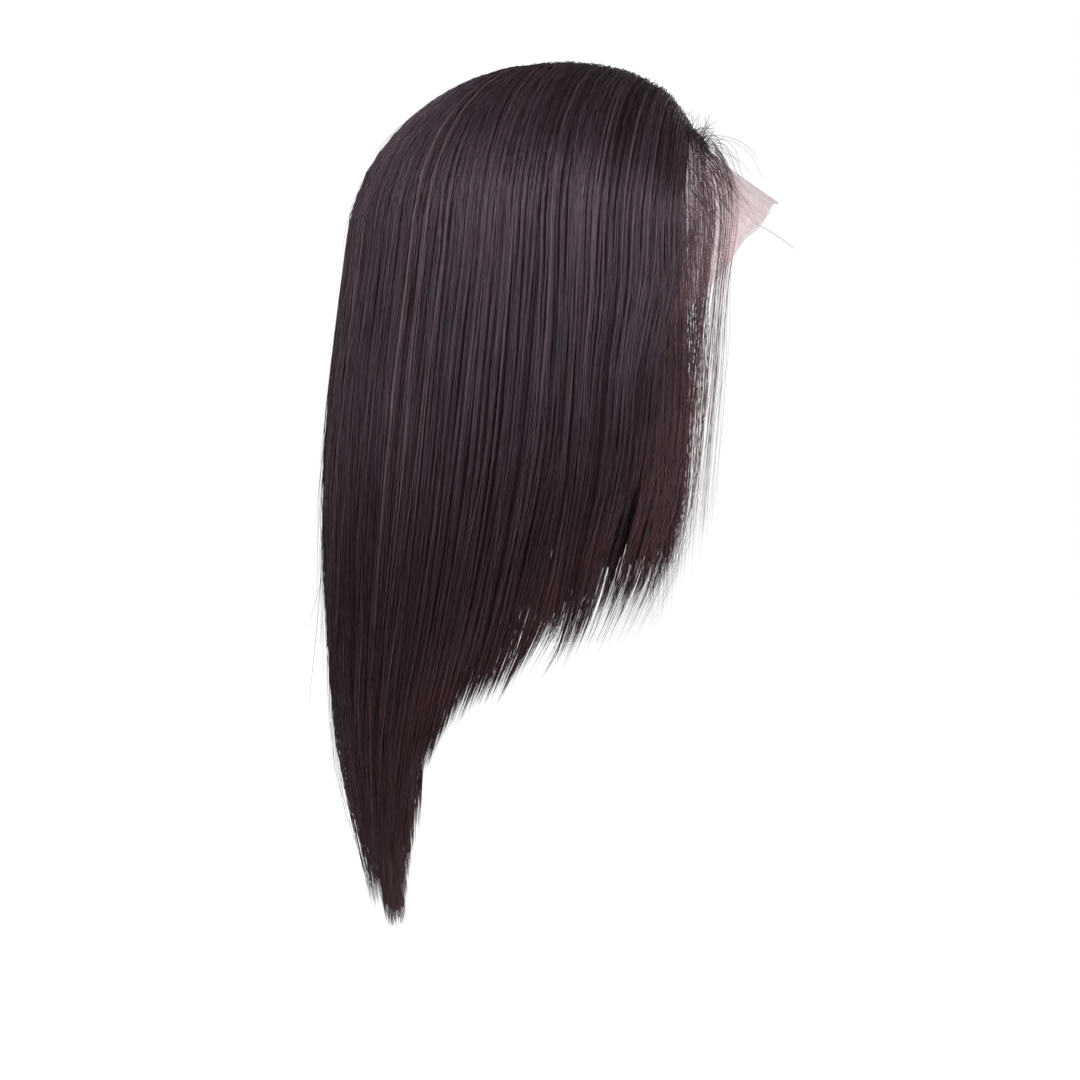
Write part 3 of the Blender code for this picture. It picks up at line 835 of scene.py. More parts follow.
CAP_DARK, CAP_LIGHT = (0.012, 0.010, 0.012), (0.11, 0.095, 0.105)
BAND_DARK, BAND_LIGHT = (0.010, 0.009, 0.010), (0.080, 0.072, 0.080)
cap_finish = ribbed_finish("stretch_knit", CAP_DARK, CAP_LIGHT, 0.0011, 0.0009, 0.8)
band_finish = ribbed_finish("woven_elastic", BAND_DARK, BAND_LIGHT, 0.0016, 0.0007, 0.7)
print("materials:", [m.name for m in bpy.data.materials if m.users])

# %% [markdown]
# ## The lace, the cap and the band
#
# A cloth starts as a flat grid primitive. Its points are moved on to the head, its normals are
# turned outwards, and Solidify gives it its thickness. A map in metres is laid on it first, by
# adding up its edges, so that a net keeps its cell size wherever the cloth curves.

# %% Make cloth from a grid
def grid_piece(name, columns, rows, place):
    """A grid primitive whose points go where place puts them, facing outwards."""
    bpy.ops.mesh.primitive_grid_add(x_subdivisions=columns, y_subdivisions=rows, size=1.0)
    piece = bpy.context.object
    piece.name = name
    mesh = piece.data
    mesh.name = name
    shares = [(v.co.x + 0.5, v.co.y + 0.5) for v in mesh.vertices]
    for vertex, (across, along) in zip(mesh.vertices, shares):
        vertex.co = place(across, along)
    mesh.update()
    facing = 0.0
    for face in mesh.polygons:
        away = face.center.copy()
        away.y -= HEAD_CENTRE_Y
        away.z -= WIDEST_Z if face.center.z > WIDEST_Z else face.center.z
        facing += face.area * face.normal.dot(away)
    if facing < 0:
        mesh.flip_normals()
    return piece, shares


def lay_map(piece, name, columns, rows, shares):
    """A map whose sizes are the cloth's own in metres, from the middle of its first row."""
    mesh = piece.data
    order = np.array([round(v * rows) * (columns + 1) + round(u * columns) for u, v in shares])
    points = np.empty((len(order), 3))
    points[order] = [v.co for v in mesh.vertices]
    points = points.reshape(rows + 1, columns + 1, 3)
    across = np.zeros(points.shape[:2])
    across[:, 1:] = np.cumsum(np.linalg.norm(np.diff(points, axis=1), axis=-1), axis=1)
    across -= across[:, [columns // 2]]
    along = np.zeros(points.shape[:2])
    along[1:] = np.cumsum(np.linalg.norm(np.diff(points, axis=0), axis=-1), axis=0)
    flat = np.stack([across, along], axis=-1).reshape(-1, 2)[order]
    layer = mesh.uv_layers.new(name=name)
    corners = np.empty(len(mesh.loops), dtype=int)
    mesh.loops.foreach_get("vertex_index", corners)
    layer.data.foreach_set("uv", flat[corners].ravel())
    area = sum(face.area for face in mesh.polygons)
    return float(across.max() - across.min()), float(along[:, columns // 2].max()), area


def thicken(piece, thickness, finish):
    """Gives a sheet its wall, outwards, and its finish."""
    wall = piece.modifiers.new("wall", "SOLIDIFY")
    wall.thickness = thickness
    wall.offset = 1.0
    wall.use_even_offset = True
    bpy.context.view_layer.objects.active = piece
    bpy.ops.object.modifier_apply(modifier=wall.name)
    piece.data.shade_smooth()
    for layer in [u for u in piece.data.uv_layers if u.name == "UVMap"]:
        piece.data.uv_layers.remove(layer)
    piece.data.materials.append(finish)


def settle(piece, slot_name, *nodes):
    """The piece rides on the part's one body and stands for the nodes that it replaces."""
    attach(piece, "root")
    if nodes:
        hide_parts(*nodes)
    print(f"{piece.name}: {len(piece.data.polygons)} faces")


def lay_cloth(name, columns, rows, place, thickness, finish):
    """A cloth laid out and thickened, with its flat size and its area."""
    piece, shares = grid_piece(name, columns, rows, place)
    wide, long, area = lay_map(piece, "cloth", columns, rows, shares)
    thicken(piece, thickness, finish)
    print(f"{name}: {wide:.3f} by {long:.3f} m flat")
    return piece, (wide, long), area

# %% [markdown]
# The uncut front of the lace stands out from the forehead. Cut cloth never lies quite flat, so
# its free edge gets a small ripple that dies away towards the hairline.

# %% The lace front
LACE_THICK = 0.00030
LACE_CLEAR = 0.0003
LACE_COLUMNS = 96
LACE_ROWS = 40
RIPPLE = 0.0011
RIPPLE_TURNS = 5.5


def lace_place(across, along):
    x, y, z = lace_point(2 * across - 1, along, CAP_PAD + LACE_CLEAR)
    free = smooth(1 - along / PEAK_SHARE) if along < PEAK_SHARE else 0.0
    wave = RIPPLE * free * math.sin(2 * math.pi * RIPPLE_TURNS * across + 3.0 * along)
    return x, y + 0.4 * wave, z + wave


lace, flat, area = lay_cloth("lace_net", LACE_COLUMNS, LACE_ROWS, lace_place, LACE_THICK, lace_finish)
settle(lace, "lace", "lace_front")

# %% [markdown]
# The cap carries rows of sewn hair, called wefts. From inside they show as low ridges from ear
# to ear under the knit, so the grid has many rows and some of them are pushed out a little.

# %% The stretch cap
CAP_COLUMNS = 48
CAP_ROWS = 84
WEFT_ROWS = 14
WEFT_RISE = 0.0005
KNIT_THICK = 0.0006


def cap_place(across, along):
    weft = max(0.0, math.cos(2 * math.pi * WEFT_ROWS * along)) ** 6
    return arch_point(CAP_ARCHES, along, 2 * across - 1, CAP_PAD + WEFT_RISE * weft)


cap, flat, area = lay_cloth("stretch_knit_cap", CAP_COLUMNS, CAP_ROWS, cap_place, KNIT_THICK, cap_finish)
settle(cap, "cap_net", "stretch_cap")

# %% [markdown]
# A band of woven elastic inside the cap's lower edge grips the nape. It covers the last fifth
# of the cap and lies against the head, under the knit.

# %% The elastic band at the nape
BAND_COLUMNS = 72
BAND_ROWS = 10


def band_place(across, along):
    return arch_point(CAP_ARCHES, lerp(1 - BAND_SHARE, 1.0, along), 2 * across - 1, 0.0)


name = "woven_nape_band"
band, flat, area = lay_cloth(name, BAND_COLUMNS, BAND_ROWS, band_place, BAND_THICK, band_finish)
settle(band, "band", "nape_band")

# %% [markdown]
# ## How each panel is combed
#
# A row for each panel says how many strands it has, how ragged its hem is, how far its front
# edge is swept back on the way down, and where its strands end. The sweep and the ends are
# short tables: shares along or across, and what holds there.

# %% Comb settings
Comb = namedtuple(
    "Comb", "count radius ragged frayed longest warm last thinning wander tuck flare sweep ends"
)
STRAND_RADIUS = 0.00021
SIDE_COMB = Comb(
    count=1700,
    radius=STRAND_RADIUS,
    ragged=0.018,
    frayed=0.0,
    longest=1.045,
    warm=0.04,
    last=1.04,
    thinning=1.0,
    wander=1.0,
    tuck=0.004,
    flare=0.001,
    sweep=((0, 1), (-0.03, -0.03)),
    ends=((0, 0.3, 1), (1.03, 1.015, 1.0)),
)
BACK_COMB = SIDE_COMB._replace(
    count=1800, ragged=0.032, longest=1.04, warm=0.14, last=1.0, tuck=0.011, flare=0.0015,
    ends=((0, 1), (1, 1)),
)
NAPE_COMB = SIDE_COMB._replace(
    count=2200, ragged=0.042, longest=1.03, warm=0.24, last=1.0, tuck=0.002, flare=0.0075,
    sweep=((0, 1), (0, 0)),
    ends=((0, 1), (1, 1)),
)
FRONT_COMB = SIDE_COMB._replace(
    count=1400, radius=STRAND_RADIUS * 0.9, ragged=0.010, frayed=0.016, longest=1.07,
    thinning=0.66,
    wander=0.5,
)
PANEL_COMBS = {
    "front_hair_right": FRONT_COMB._replace(
        sweep=((0, 0.35, 0.46, 0.60, 1), (0.08, 0.25, 0.26, 0.44, 0.46)),
        ends=((0, 0.26, 0.5, 0.9, 1), (0.79, 0.86, 0.925, 1.00, 1.03)),
    ),
    "front_hair_left": FRONT_COMB._replace(
        thinning=0.80, sweep=((0, 0.30, 0.55, 0.97), (0.08, 0.15, 0.13, 0.08)),
        ends=((0, 0.15, 0.4, 1), (0.95, 0.96, 0.975, 1.0)),
    ),
    "side_hair": SIDE_COMB,
    "back_hair": BACK_COMB,
}
print("strands on a side panel:", SIDE_COMB.count)

# %% [markdown]
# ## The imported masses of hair
#
# Under the strands a real wig is opaque. A smooth wall through the middle of each panel does
# that job. It stops short of the tips, where the hair thins out and light comes through.

# %% Build the masses
MASS_COLUMNS = 26
MASS_ROWS = 30
MASS_FIRST = 0.006
MASS_LAST = 0.82
MASS_FRONT_LAST = 0.90
MASS_INNER = 0.17
MASS_OUTER = 0.58
MASS_ROOT_OUTER = 0.88
MASS_TIP_DEPTH = 0.30
MASS_INSET = 0.015
MASS_BEHIND = {"front_hair_right_mass": 0.11, "front_hair_left_mass": 0.06}
MASS_EDGE_WAVE = 0.018
MASS_RETREAT = 0.13
MASS_RAGGED = 0.022
RAGGED_TURNS = (41, 67)
EDGE_TURNS = (19, 43)


def uneven(at, turns):
    """Two waves that never fall together, so an edge looks as if it had no pattern."""
    return math.sin(turns[0] * at) + math.sin(turns[1] * at + 1.0)


def mass_place(name, parts, nodes, across, along, deep):
    """A point of a mass. Its front edge is wavy and its lower edge ragged."""
    front = "front" in name
    last = MASS_FRONT_LAST if front or "side" in name else MASS_LAST
    retreat = MASS_RETREAT * (1 - smooth(across / 0.8)) if name == "front_hair_right_mass" else 0.0
    ragged = MASS_RAGGED * uneven(across, RAGGED_TURNS)
    if deep > MASS_INNER:
        deep = lerp(MASS_ROOT_OUTER, deep, smooth(along / 0.3))
    deep = lerp(deep, MASS_TIP_DEPTH, smooth((along - 0.7) / 0.3))
    along = lerp(MASS_FIRST, last - retreat + ragged, along)
    field = fields[parts[0] if across < 0.5 else parts[-1]]
    if len(parts) == 2:
        share = lerp(MASS_INSET, 1.0, 1 - abs(2 * across - 1))
    else:
        first = MASS_INSET
        if front:
            wave = MASS_EDGE_WAVE * uneven(along, EDGE_TURNS)
            behind = (MASS_BEHIND[name] + wave) * smooth(along / 0.25)
            first = float(np.interp(along, *PANEL_COMBS[parts[0]].sweep)) + behind
        share = lerp(first, 1 - MASS_INSET, across)
    deep *= smooth(along / 0.05) if nodes[0] != "nape_hair" else 1.0
    return tuple(hair_place(field, np.array([share]), np.array([along]), np.array([deep]))[0])


def build_mass(name, parts, nodes):
    """A closed wall through one field, or through two that meet in the middle."""
    def place(across, along, deep=MASS_INNER):
        return mass_place(name, parts, nodes, across, along, deep)

    inner, _ = grid_piece(name, MASS_COLUMNS, MASS_ROWS, place)
    mesh = inner.data
    mesh.uv_layers[0].name = "flow"
    starts = np.array([v.co for v in mesh.vertices])
    bpy.ops.mesh.primitive_grid_add(x_subdivisions=MASS_COLUMNS, y_subdivisions=MASS_ROWS, size=1.0)
    outer = bpy.context.object
    ends = np.array([place(v.co.x + 0.5, v.co.y + 0.5, MASS_OUTER) for v in outer.data.vertices])
    bpy.data.objects.remove(outer)
    thick = np.linalg.norm(ends - starts, axis=1)
    group = inner.vertex_groups.new(name="thickness")
    for n, value in enumerate(thick):
        group.add([n], value / thick.max(), "REPLACE")
    wall = inner.modifiers.new("wall", "SOLIDIFY")
    wall.thickness = thick.max()
    wall.offset = 1.0
    wall.vertex_group = group.name
    bpy.context.view_layer.objects.active = inner
    bpy.ops.object.modifier_apply(modifier=wall.name)
    mesh.shade_smooth()
    mesh.materials.append(mass_hair)
    settle(inner, "hair", *nodes)


for side_name in ("right", "left"):
    for panel in (FRONT_HAIR, SIDE_HAIR):
        name = f"{panel.name}_{side_name}"
        build_mass(f"{name}_mass", [name], [name])
build_mass("back_hair_mass", ["back_hair_right", "back_hair_left"], ["back_hair"])
build_mass("nape_hair_mass", ["nape_hair"], ["nape_hair"])

# %% [markdown]
# ## Strands
#
# One strand is a very thin tube with three sides, a flat root and a pointed tip. Thousands of
# them share one mesh, because separate objects or curves would be slow. Their rings are worked
# out together as arrays. Each strand gets a strip of the tone map.

# %% Turn paths into tubes
def unit(vectors):
    return vectors / np.maximum(np.linalg.norm(vectors, axis=-1, keepdims=True), 1e-12)


SIDES = 3
STRIP_EDGE = 0.06
BELOW_HEAD = np.array([0.0, HEAD_CENTRE_Y, -0.30])
RADIUS_AT = (0.0, 0.05, 0.70, 0.93, 1.0)
RADIUS_SHARE = (0.80, 1.0, 1.0, 0.58, 0.08)


def tube_mesh(name, paths, radii, tones, alongs, rng):
    """Closed tubes along paths, an array of strands by points by 3."""
    count, points = paths.shape[:2]
    tangent = unit(np.gradient(paths, axis=1))
    side = unit(np.cross(tangent, paths - BELOW_HEAD))
    up = np.cross(tangent, side)
    turn = rng.uniform(0, 2 * math.pi, count)[:, None, None]
    angle = turn + np.arange(SIDES) * 2 * math.pi / SIDES
    shape = np.interp(np.linspace(0, 1, points), RADIUS_AT, RADIUS_SHARE)
    reach = radii[:, None] * shape
    ring = np.cos(angle)[..., None] * side[:, :, None] + np.sin(angle)[..., None] * up[:, :, None]
    rings = paths[:, :-1, None] + reach[:, :-1, None, None] * ring[:, :-1]
    body = rings.reshape(count, -1, 3)
    vertices = np.concatenate([body, paths[:, -1:]], axis=1)
    per_strand = vertices.shape[1]
    tip = per_strand - 1
    quads = []
    quad_places = []
    for k in range(points - 2):
        for m in range(SIDES):
            n = (m + 1) % SIDES
            quads.append((k * SIDES + m, k * SIDES + n, (k + 1) * SIDES + n, (k + 1) * SIDES + m))
            quad_places.append(((m, k), (m + 1, k), (m + 1, k + 1), (m, k + 1)))
    last = (points - 2) * SIDES
    thirds = [(2, 1, 0)]
    third_places = [((2, 0), (1, 0.3), (0, 0))]
    for m in range(SIDES):
        thirds.append((last + m, last + (m + 1) % SIDES, tip))
        third_places.append(((m, points - 2), (m + 1, points - 2), (m + 0.5, points - 1)))
    offset = (np.arange(count) * per_strand)[:, None, None]
    corners = [(np.array(faces)[None] + offset).reshape(count, -1) for faces in (quads, thirds)]
    loops = np.concatenate(corners, axis=1)
    sizes = np.tile(np.array([4] * len(quads) + [3] * len(thirds)), count)
    mesh = bpy.data.meshes.new(name)
    mesh.vertices.add(count * per_strand)
    mesh.vertices.foreach_set("co", vertices.astype(np.float32).ravel())
    mesh.loops.add(loops.size)
    mesh.loops.foreach_set("vertex_index", loops.astype(np.int32).ravel())
    mesh.polygons.add(len(sizes))
    mesh.polygons.foreach_set("loop_start", (np.cumsum(sizes) - sizes).astype(np.int32))
    mesh.polygons.foreach_set("loop_total", sizes.astype(np.int32))
    mesh.update(calc_edges=True)
    places = np.array([p for face in quad_places + third_places for p in face], dtype=float)
    layer = mesh.uv_layers.new(name="OFBake")
    u = (tones[:, None] + STRIP_EDGE + (1 - 2 * STRIP_EDGE) * places[None, :, 0] / SIDES) / TONES
    row = np.interp(places[:, 1], np.arange(points), alongs)
    v = np.broadcast_to(0.01 + 0.98 * row[None], u.shape)
    layer.data.foreach_set("uv", np.stack([u, v], axis=-1).astype(np.float32).ravel())
    mesh.shade_smooth()
    mesh.validate()
    return mesh


def strands_piece(name, paths, radii, tones, alongs, rng, *nodes):
    """A piece of hair from paths, in place of its nodes."""
    mesh = tube_mesh(name, paths, radii, tones, alongs, rng)
    mesh.materials.append(strand_hair)
    piece = bpy.data.objects.new(name, mesh)
    bpy.context.collection.objects.link(piece)
    triangles = sum(len(p.vertices) - 2 for p in mesh.polygons)
    print(f"{name}: {len(paths)} strands, {triangles} triangles")
    settle(piece, "hair", *nodes)

# %% [markdown]
# Combed hair isn't even. Strands gather into small clumps, clumps into locks, and both draw
# together towards the tips. A few strands end early, a few run past the hem, and each one
# wanders by a fraction of a millimetre.

# %% Lay out the strands of a panel
DOME_STEPS = np.array([0.0, 0.045, 0.095, 0.15, 0.21, 0.275, 0.345, 0.42])
HANGING_STEPS = np.array([0.51, 0.62, 0.73, 0.84, 0.93, 1.0])
LONG_STEPS = np.concatenate([DOME_STEPS, HANGING_STEPS])
NAPE_STEPS = np.array([0.0, 0.10, 0.22, 0.36, 0.52, 0.68, 0.82, 0.93, 1.0])
NAPE_MAP_STEPS = lerp(0.5, 1.0, NAPE_STEPS)
INNER_SHARE = 0.22
INNER_DEPTH = (-0.02, 0.13)
OUTER_DEPTH = (0.18, 1.0)
LATE_ROOTS = 0.40
LATE_START = (0.03, 0.36)
LATE_DEPTH = 0.72
PARTING_START = (0.0, 0.006)
STAGGER_LENGTH = 0.36
EARLY_ENDS = 0.24
EARLY_BY = 0.16
RUNS_ON = 0.045
STEP_JITTER = 0.42
Layout = namedtuple("Layout", "inward inside deep begin along")


def even_spacing(field, first, last, even):
    """Shares inwards from a panel's first edge to its last, even in millimetres across it."""
    line = field.inner[:, len(field.alongs) * 2 // 3]
    reach = np.concatenate([[0.0], np.cumsum(np.linalg.norm(np.diff(line, axis=0), axis=1))])
    ends = np.interp([first, last], field.shares, reach)
    share = np.interp(lerp(ends[0], ends[1], even), reach, field.shares)
    return np.clip((share - first) / (last - first), 0, 1)


def lay_out(field, settings, steps, rng):
    """Each strand's place across its panel, its depth, and the shares that it runs through."""
    count = settings.count
    even = ((np.arange(count) + rng.random(count)) / count) ** settings.thinning
    rng.shuffle(even)
    inward = even_spacing(field, settings.sweep[1][-1], settings.last, even)
    inside = rng.random(count) < INNER_SHARE
    inner = rng.uniform(*INNER_DEPTH, count)
    deep = np.where(inside, inner, lerp(*OUTER_DEPTH, rng.random(count) ** 0.7))
    late = rng.random(count) < LATE_ROOTS
    start = np.where(late, rng.uniform(*LATE_START, count), rng.uniform(*PARTING_START, count))
    deep = np.where(late, deep * LATE_DEPTH, deep)
    lock = np.floor(lerp(settings.sweep[1][-1], settings.last, inward) * field.locks)
    stagger = LOCK_STAGGER * np.sin(LOCK_STAGGER_TURN * lock + LOCK_STAGGER_START) / STAGGER_LENGTH
    end = np.interp(inward, *settings.ends) + stagger
    end += rng.normal(0, settings.ragged, count) + rng.exponential(settings.frayed, count)
    early = rng.random(count) < EARLY_ENDS
    end = np.where(early, end - rng.uniform(0.0, EARLY_BY, count), end)
    runs_on = rng.random(count) < RUNS_ON
    end = np.where(runs_on, rng.uniform(0.99, settings.longest, count), end)
    end = np.minimum(end, settings.longest)
    gaps = np.minimum(np.diff(steps, prepend=steps[0]), np.diff(steps, append=steps[-1]))
    jittered = steps + STEP_JITTER * gaps * rng.uniform(-1, 1, (count, 1))
    along = start[:, None] + (end - start)[:, None] * jittered
    return Layout(inward, inside, deep, np.where(late, start, 0.0)[:, None], along)


print("points on a long strand:", len(LONG_STEPS))

# %% [markdown]
# Each strand is drawn sideways towards its clump's middle and, near its tip, towards its
# wisp's. Strands of one clump also share a depth, which is what makes some clumps stand out.

# %% Gather the strands
CLUMP_WIDTH = 0.0019
CLUMP_SPREAD = 0.30
CLUMP_PULL = 0.50
CLUMP_DEPTH_PULL = 0.38
EDGE_PULL = 0.35
EDGE_SHARE = 0.12
WISP_WIDTH = 0.0065
WISP_SPREAD = 0.2
WISP_PULL = 0.12
WISP_DEPTH = 0.10
TIP_PULL = 0.10
TIPS_FROM = 0.80
TIPS_OVER = 0.25
INNER_PULL = 0.15
ROOT_LIFT = 0.65
LIFT_UNTIL = 0.12


def gather(field, settings, laid, rng):
    """Shares across and depths of the strands, drawn together, and the clump of each."""
    inward, along = laid.inward, laid.along
    clumps = max(3, round(field.width / CLUMP_WIDTH))
    drawn = inward * clumps + rng.normal(0, CLUMP_SPREAD, settings.count)
    clump = np.clip(drawn, 0, clumps - 1).astype(int)
    centre = (clump + 0.5 + rng.normal(0, CLUMP_SPREAD, clumps)[clump]) / clumps
    clump_deep = rng.uniform(0.10, 1.0, clumps)[clump]
    near_tip = smooth((along - TIPS_FROM) / TIPS_OVER)
    sparse = EDGE_PULL * (1 - smooth(inward / EDGE_SHARE)) * (settings.wander < 1)
    pull = (CLUMP_PULL + sparse[:, None]) * smooth(along / 0.4) + TIP_PULL * near_tip
    across = inward[:, None] + (centre - inward)[:, None] * pull
    wisps = max(2, round(field.width / WISP_WIDTH))
    wisp = np.clip(inward * wisps, 0, wisps - 1).astype(int)
    middle = (wisp + 0.5 + rng.normal(0, WISP_SPREAD, wisps)[wisp]) / wisps
    across += (middle - inward)[:, None] * WISP_PULL * near_tip
    wisp_deep = rng.uniform(-WISP_DEPTH, WISP_DEPTH, wisps)[wisp]
    outer = np.where(laid.inside, INNER_PULL, 1.0)[:, None]
    shared = (clump_deep - laid.deep)[:, None] * CLUMP_DEPTH_PULL + wisp_deep[:, None]
    depth = laid.deep[:, None] + shared * pull * outer
    lifted = ROOT_LIFT * (1 - smooth((along - LIFT_UNTIL) / 0.25)) * (outer == 1.0)
    return across, lerp(depth, 0.80 + 0.20 * depth, lifted), clump, clumps


print("clumps in a side panel:", round(fields["side_hair_right"].width / CLUMP_WIDTH))

# %% [markdown]
# What is left is small: every clump sways a little, every strand wanders on its own, the tips
# tuck in or flare out, and each strand gets its thickness and its tone. Strands that lie deep in
# the hair get a darker tone: painted shade.

# %% Comb strands through a panel
ROOT_DEPTH = 0.12
ROOT_OVER = 0.055
CLUMP_SWAY = 0.9
DEPTH_SWAY = 0.05
TUCK_FROM = 0.72
CLUMP_TONE = 0.80
STRAND_TONE = 0.34
INNER_SHADE = 0.45


def comb(field, settings, steps, rng):
    """Paths, radii and tones of the strands of one panel."""
    count = settings.count
    laid = lay_out(field, settings, steps, rng)
    along = laid.along
    across, depth, clump, clumps = gather(field, settings, laid, rng)
    millimetre = 0.001 / field.width
    turns = rng.uniform(0.6, 1.8, (clumps, 1))[clump]
    phase = rng.uniform(0, 2 * math.pi, (clumps, 1))[clump]
    sway = CLUMP_SWAY * millimetre * smooth(along / 0.3) * (1 - 0.7 * smooth((along - 0.65) / 0.25))
    across += sway * np.sin(2 * math.pi * turns * along + phase)
    turns = rng.uniform(1.0, 4.0, (count, 1))
    phase = rng.uniform(0, 2 * math.pi, (count, 1))
    size = settings.wander * rng.gamma(2.0, 0.16, (count, 1)) * millimetre
    across += size * np.sin(2 * math.pi * turns * along + phase) * smooth(along / 0.15)
    depth += DEPTH_SWAY * np.sin(2 * math.pi * turns * along + 1.7 * phase)
    root = ROOT_DEPTH + (1 - ROOT_DEPTH) * smooth((along - laid.begin) / ROOT_OVER)
    first = np.interp(along, *settings.sweep)
    share = first + (settings.last - first) * across
    paths = hair_place(field, share, along, depth * root)
    spread = rng.uniform(-settings.tuck, settings.flare, (count, 1))
    spread = spread * smooth((along - TUCK_FROM) / (1 - TUCK_FROM))
    paths += unit(read_grid(field, field.outward, share, np.minimum(along, 0.95))) * spread[..., None]

    radii = settings.radius * rng.uniform(0.7, 1.15, count)
    clump_tone = rng.beta(0.9, 2.0, clumps)[clump]
    tone = CLUMP_TONE * clump_tone + STRAND_TONE * rng.beta(1.4, 2.6, count)
    # Painted shade: strands deep in the hair, towards the scalp, are darker.
    tone = tone * lerp(INNER_SHADE, 1.0, np.clip(laid.deep, 0, 1)) + settings.warm * rng.random(count)
    tones = np.clip((tone * (TONES - 1)).astype(int), 0, TONES - 1)
    return paths, radii, tones


print("combs for", sorted(PANEL_COMBS))

# %% [markdown]
# Every panel gets its own seed, so its strands fall the same way on every run. The layer from
# the nape is combed last. It is short, so its strands use the lower half of the tone map, with
# its painted low shade and its redder tips.

# %% Strands of every panel
FIRST_SEED = 12
NAPE_SEED = 31

seed = FIRST_SEED
for side_name in ("right", "left"):
    for panel in (FRONT_HAIR, SIDE_HAIR, BACK_HAIR):
        rng = np.random.default_rng(seed)
        seed += 1
        name = f"{panel.name}_{side_name}"
        settings = PANEL_COMBS.get(name) or PANEL_COMBS[panel.name]
        paths, radii, tones = comb(fields[name], settings, LONG_STEPS, rng)
        node = "back_hair" if panel is BACK_HAIR else name
        strands_piece(f"{name}_strands", paths, radii, tones, LONG_STEPS, rng, node)
rng = np.random.default_rng(NAPE_SEED)
paths, radii, tones = comb(fields["nape_hair"], NAPE_COMB, NAPE_STEPS, rng)
strands_piece("nape_hair_strands", paths, radii, tones, NAPE_MAP_STEPS, rng, "nape_hair")

# %% [markdown]
# ## Loose hair
#
# What makes a wig look like hair is at its edges. A sparse veil falls in front of the dense
# hair. Short hairs stand off the surface all over. At the hairline fine hairs are tied into
# the bare lace, and the shortest of them, baby hairs, curl up and forward.

# %% The veil in front of the dense hair
WISP_RADIUS = 0.00011
SPARSE_COUNT = 105
SPARSE_COMB = FRONT_COMB._replace(
    count=SPARSE_COUNT, radius=WISP_RADIUS * 1.15, ragged=0.05, longest=1.06, warm=0.20, last=0.48,
    tuck=0.0,
    wander=0.2,
    sweep=((0, 1), (-0.02, -0.02)),
)
VEIL_COUNT = 140
VEIL_STEPS = np.array([0.0, 0.05, 0.11, 0.18, 0.26, 0.36, 0.47, 0.58, 0.70, 0.82, 0.92, 1.0])
VEIL_WIDEST_DEG = (27.0, 53.0)
VEIL_TIP_DEG = (40.0, 64.0)
VEIL_TIP_Z = (-0.232, -0.275)
VEIL_GROUPS = 18
VEIL_CLEAR = 1.012
# The sparse hairs and the veil read the far end of the tone map, so they carry its painted low shade and
# its redder tips.
SPARSE_TONE_RANGE = (0.84, 0.95)
VEIL_TONE_RANGE = (0.88, 0.95)
VEIL_SEEDS = {"right": 41, "left": 42}


def veil_hair(side, inward, rng):
    """One hair from the hairline, over the temple and straight down beside the face."""
    root = lace_point(0.03 + 0.72 * inward, PEAK_SHARE + rng.uniform(0.0, 0.06), CAP_PAD + 0.0010)
    root_x = root[0] / level("half_width", WIDEST_Z)
    first = math.degrees(math.atan2(root_x, (HEAD_CENTRE_Y - root[1]) / FRONT_REACH))
    widest = lerp(*VEIL_WIDEST_DEG, inward) + rng.normal(0, 0.8)
    tip = lerp(*VEIL_TIP_DEG, inward) + rng.normal(0, 2.0)
    middle = lerp(widest, tip, 0.55) + rng.normal(0, 0.8)
    tip_z = lerp(*VEIL_TIP_Z, inward) + rng.normal(0, 0.008) + (0.05 if rng.random() < 0.2 else 0.0)
    at = (root[2], WIDEST_Z, -0.165, tip_z - 0.001)
    path = []
    for z in lerp(root[2], tip_z, VEIL_STEPS):
        angle = math.radians(curve([-v for v in at], (first, widest, middle, tip), -z))
        over = (max(z, WIDEST_Z) - WIDEST_Z) / (HEAD_RISE + HAIR_PAD)
        reach = VEIL_CLEAR * math.sqrt(max(0.0, 1 - over * over))
        x = side * level("half_width", z) * reach * math.sin(angle)
        path.append((x, HEAD_CENTRE_Y - FRONT_REACH * reach * math.cos(angle), z))
    return path


for side_name, side in (("right", -1), ("left", 1)):
    rng = np.random.default_rng(VEIL_SEEDS[side_name])
    name = f"front_hair_{side_name}"
    paths, radii, tones = comb(fields[name], SPARSE_COMB, LONG_STEPS, rng)
    alongs = lerp(*SPARSE_TONE_RANGE, LONG_STEPS)
    strands_piece(f"sparse_hair_{side_name}", paths, radii, tones, alongs, rng, name)
    groups = rng.uniform(0, 1, VEIL_GROUPS) ** 0.7
    inward = groups[rng.integers(0, VEIL_GROUPS, VEIL_COUNT)] + rng.normal(0, 0.04, VEIL_COUNT)
    paths = np.array([veil_hair(side, q, rng) for q in np.clip(inward, 0, 1)])
    radii = WISP_RADIUS * rng.uniform(0.5, 0.9, len(paths))
    tones = rng.integers(4, TONES, len(paths))
    alongs = lerp(*VEIL_TONE_RANGE, VEIL_STEPS)
    strands_piece(f"veil_{side_name}", paths, radii, tones, alongs, rng, name)

# %% [markdown]
# On every panel a few short hairs leave the surface slowly on their way down. They break up
# the clean outline, most of all at the back, where hair rubs against clothes.

# %% Hairs that stand off the surface
FLYAWAY_STEPS = np.linspace(0.0, 1.0, 8)
LOOSE_SEED = 51
Loose = namedtuple("Loose", "field count")
LOOSE_HAIR = (
    Loose("front_hair_right", 60),
    Loose("front_hair_left", 60),
    Loose("side_hair_right", 75),
    Loose("side_hair_left", 75),
    Loose("back_hair_right", 150),
    Loose("back_hair_left", 150),
    Loose("nape_hair", 60),
)


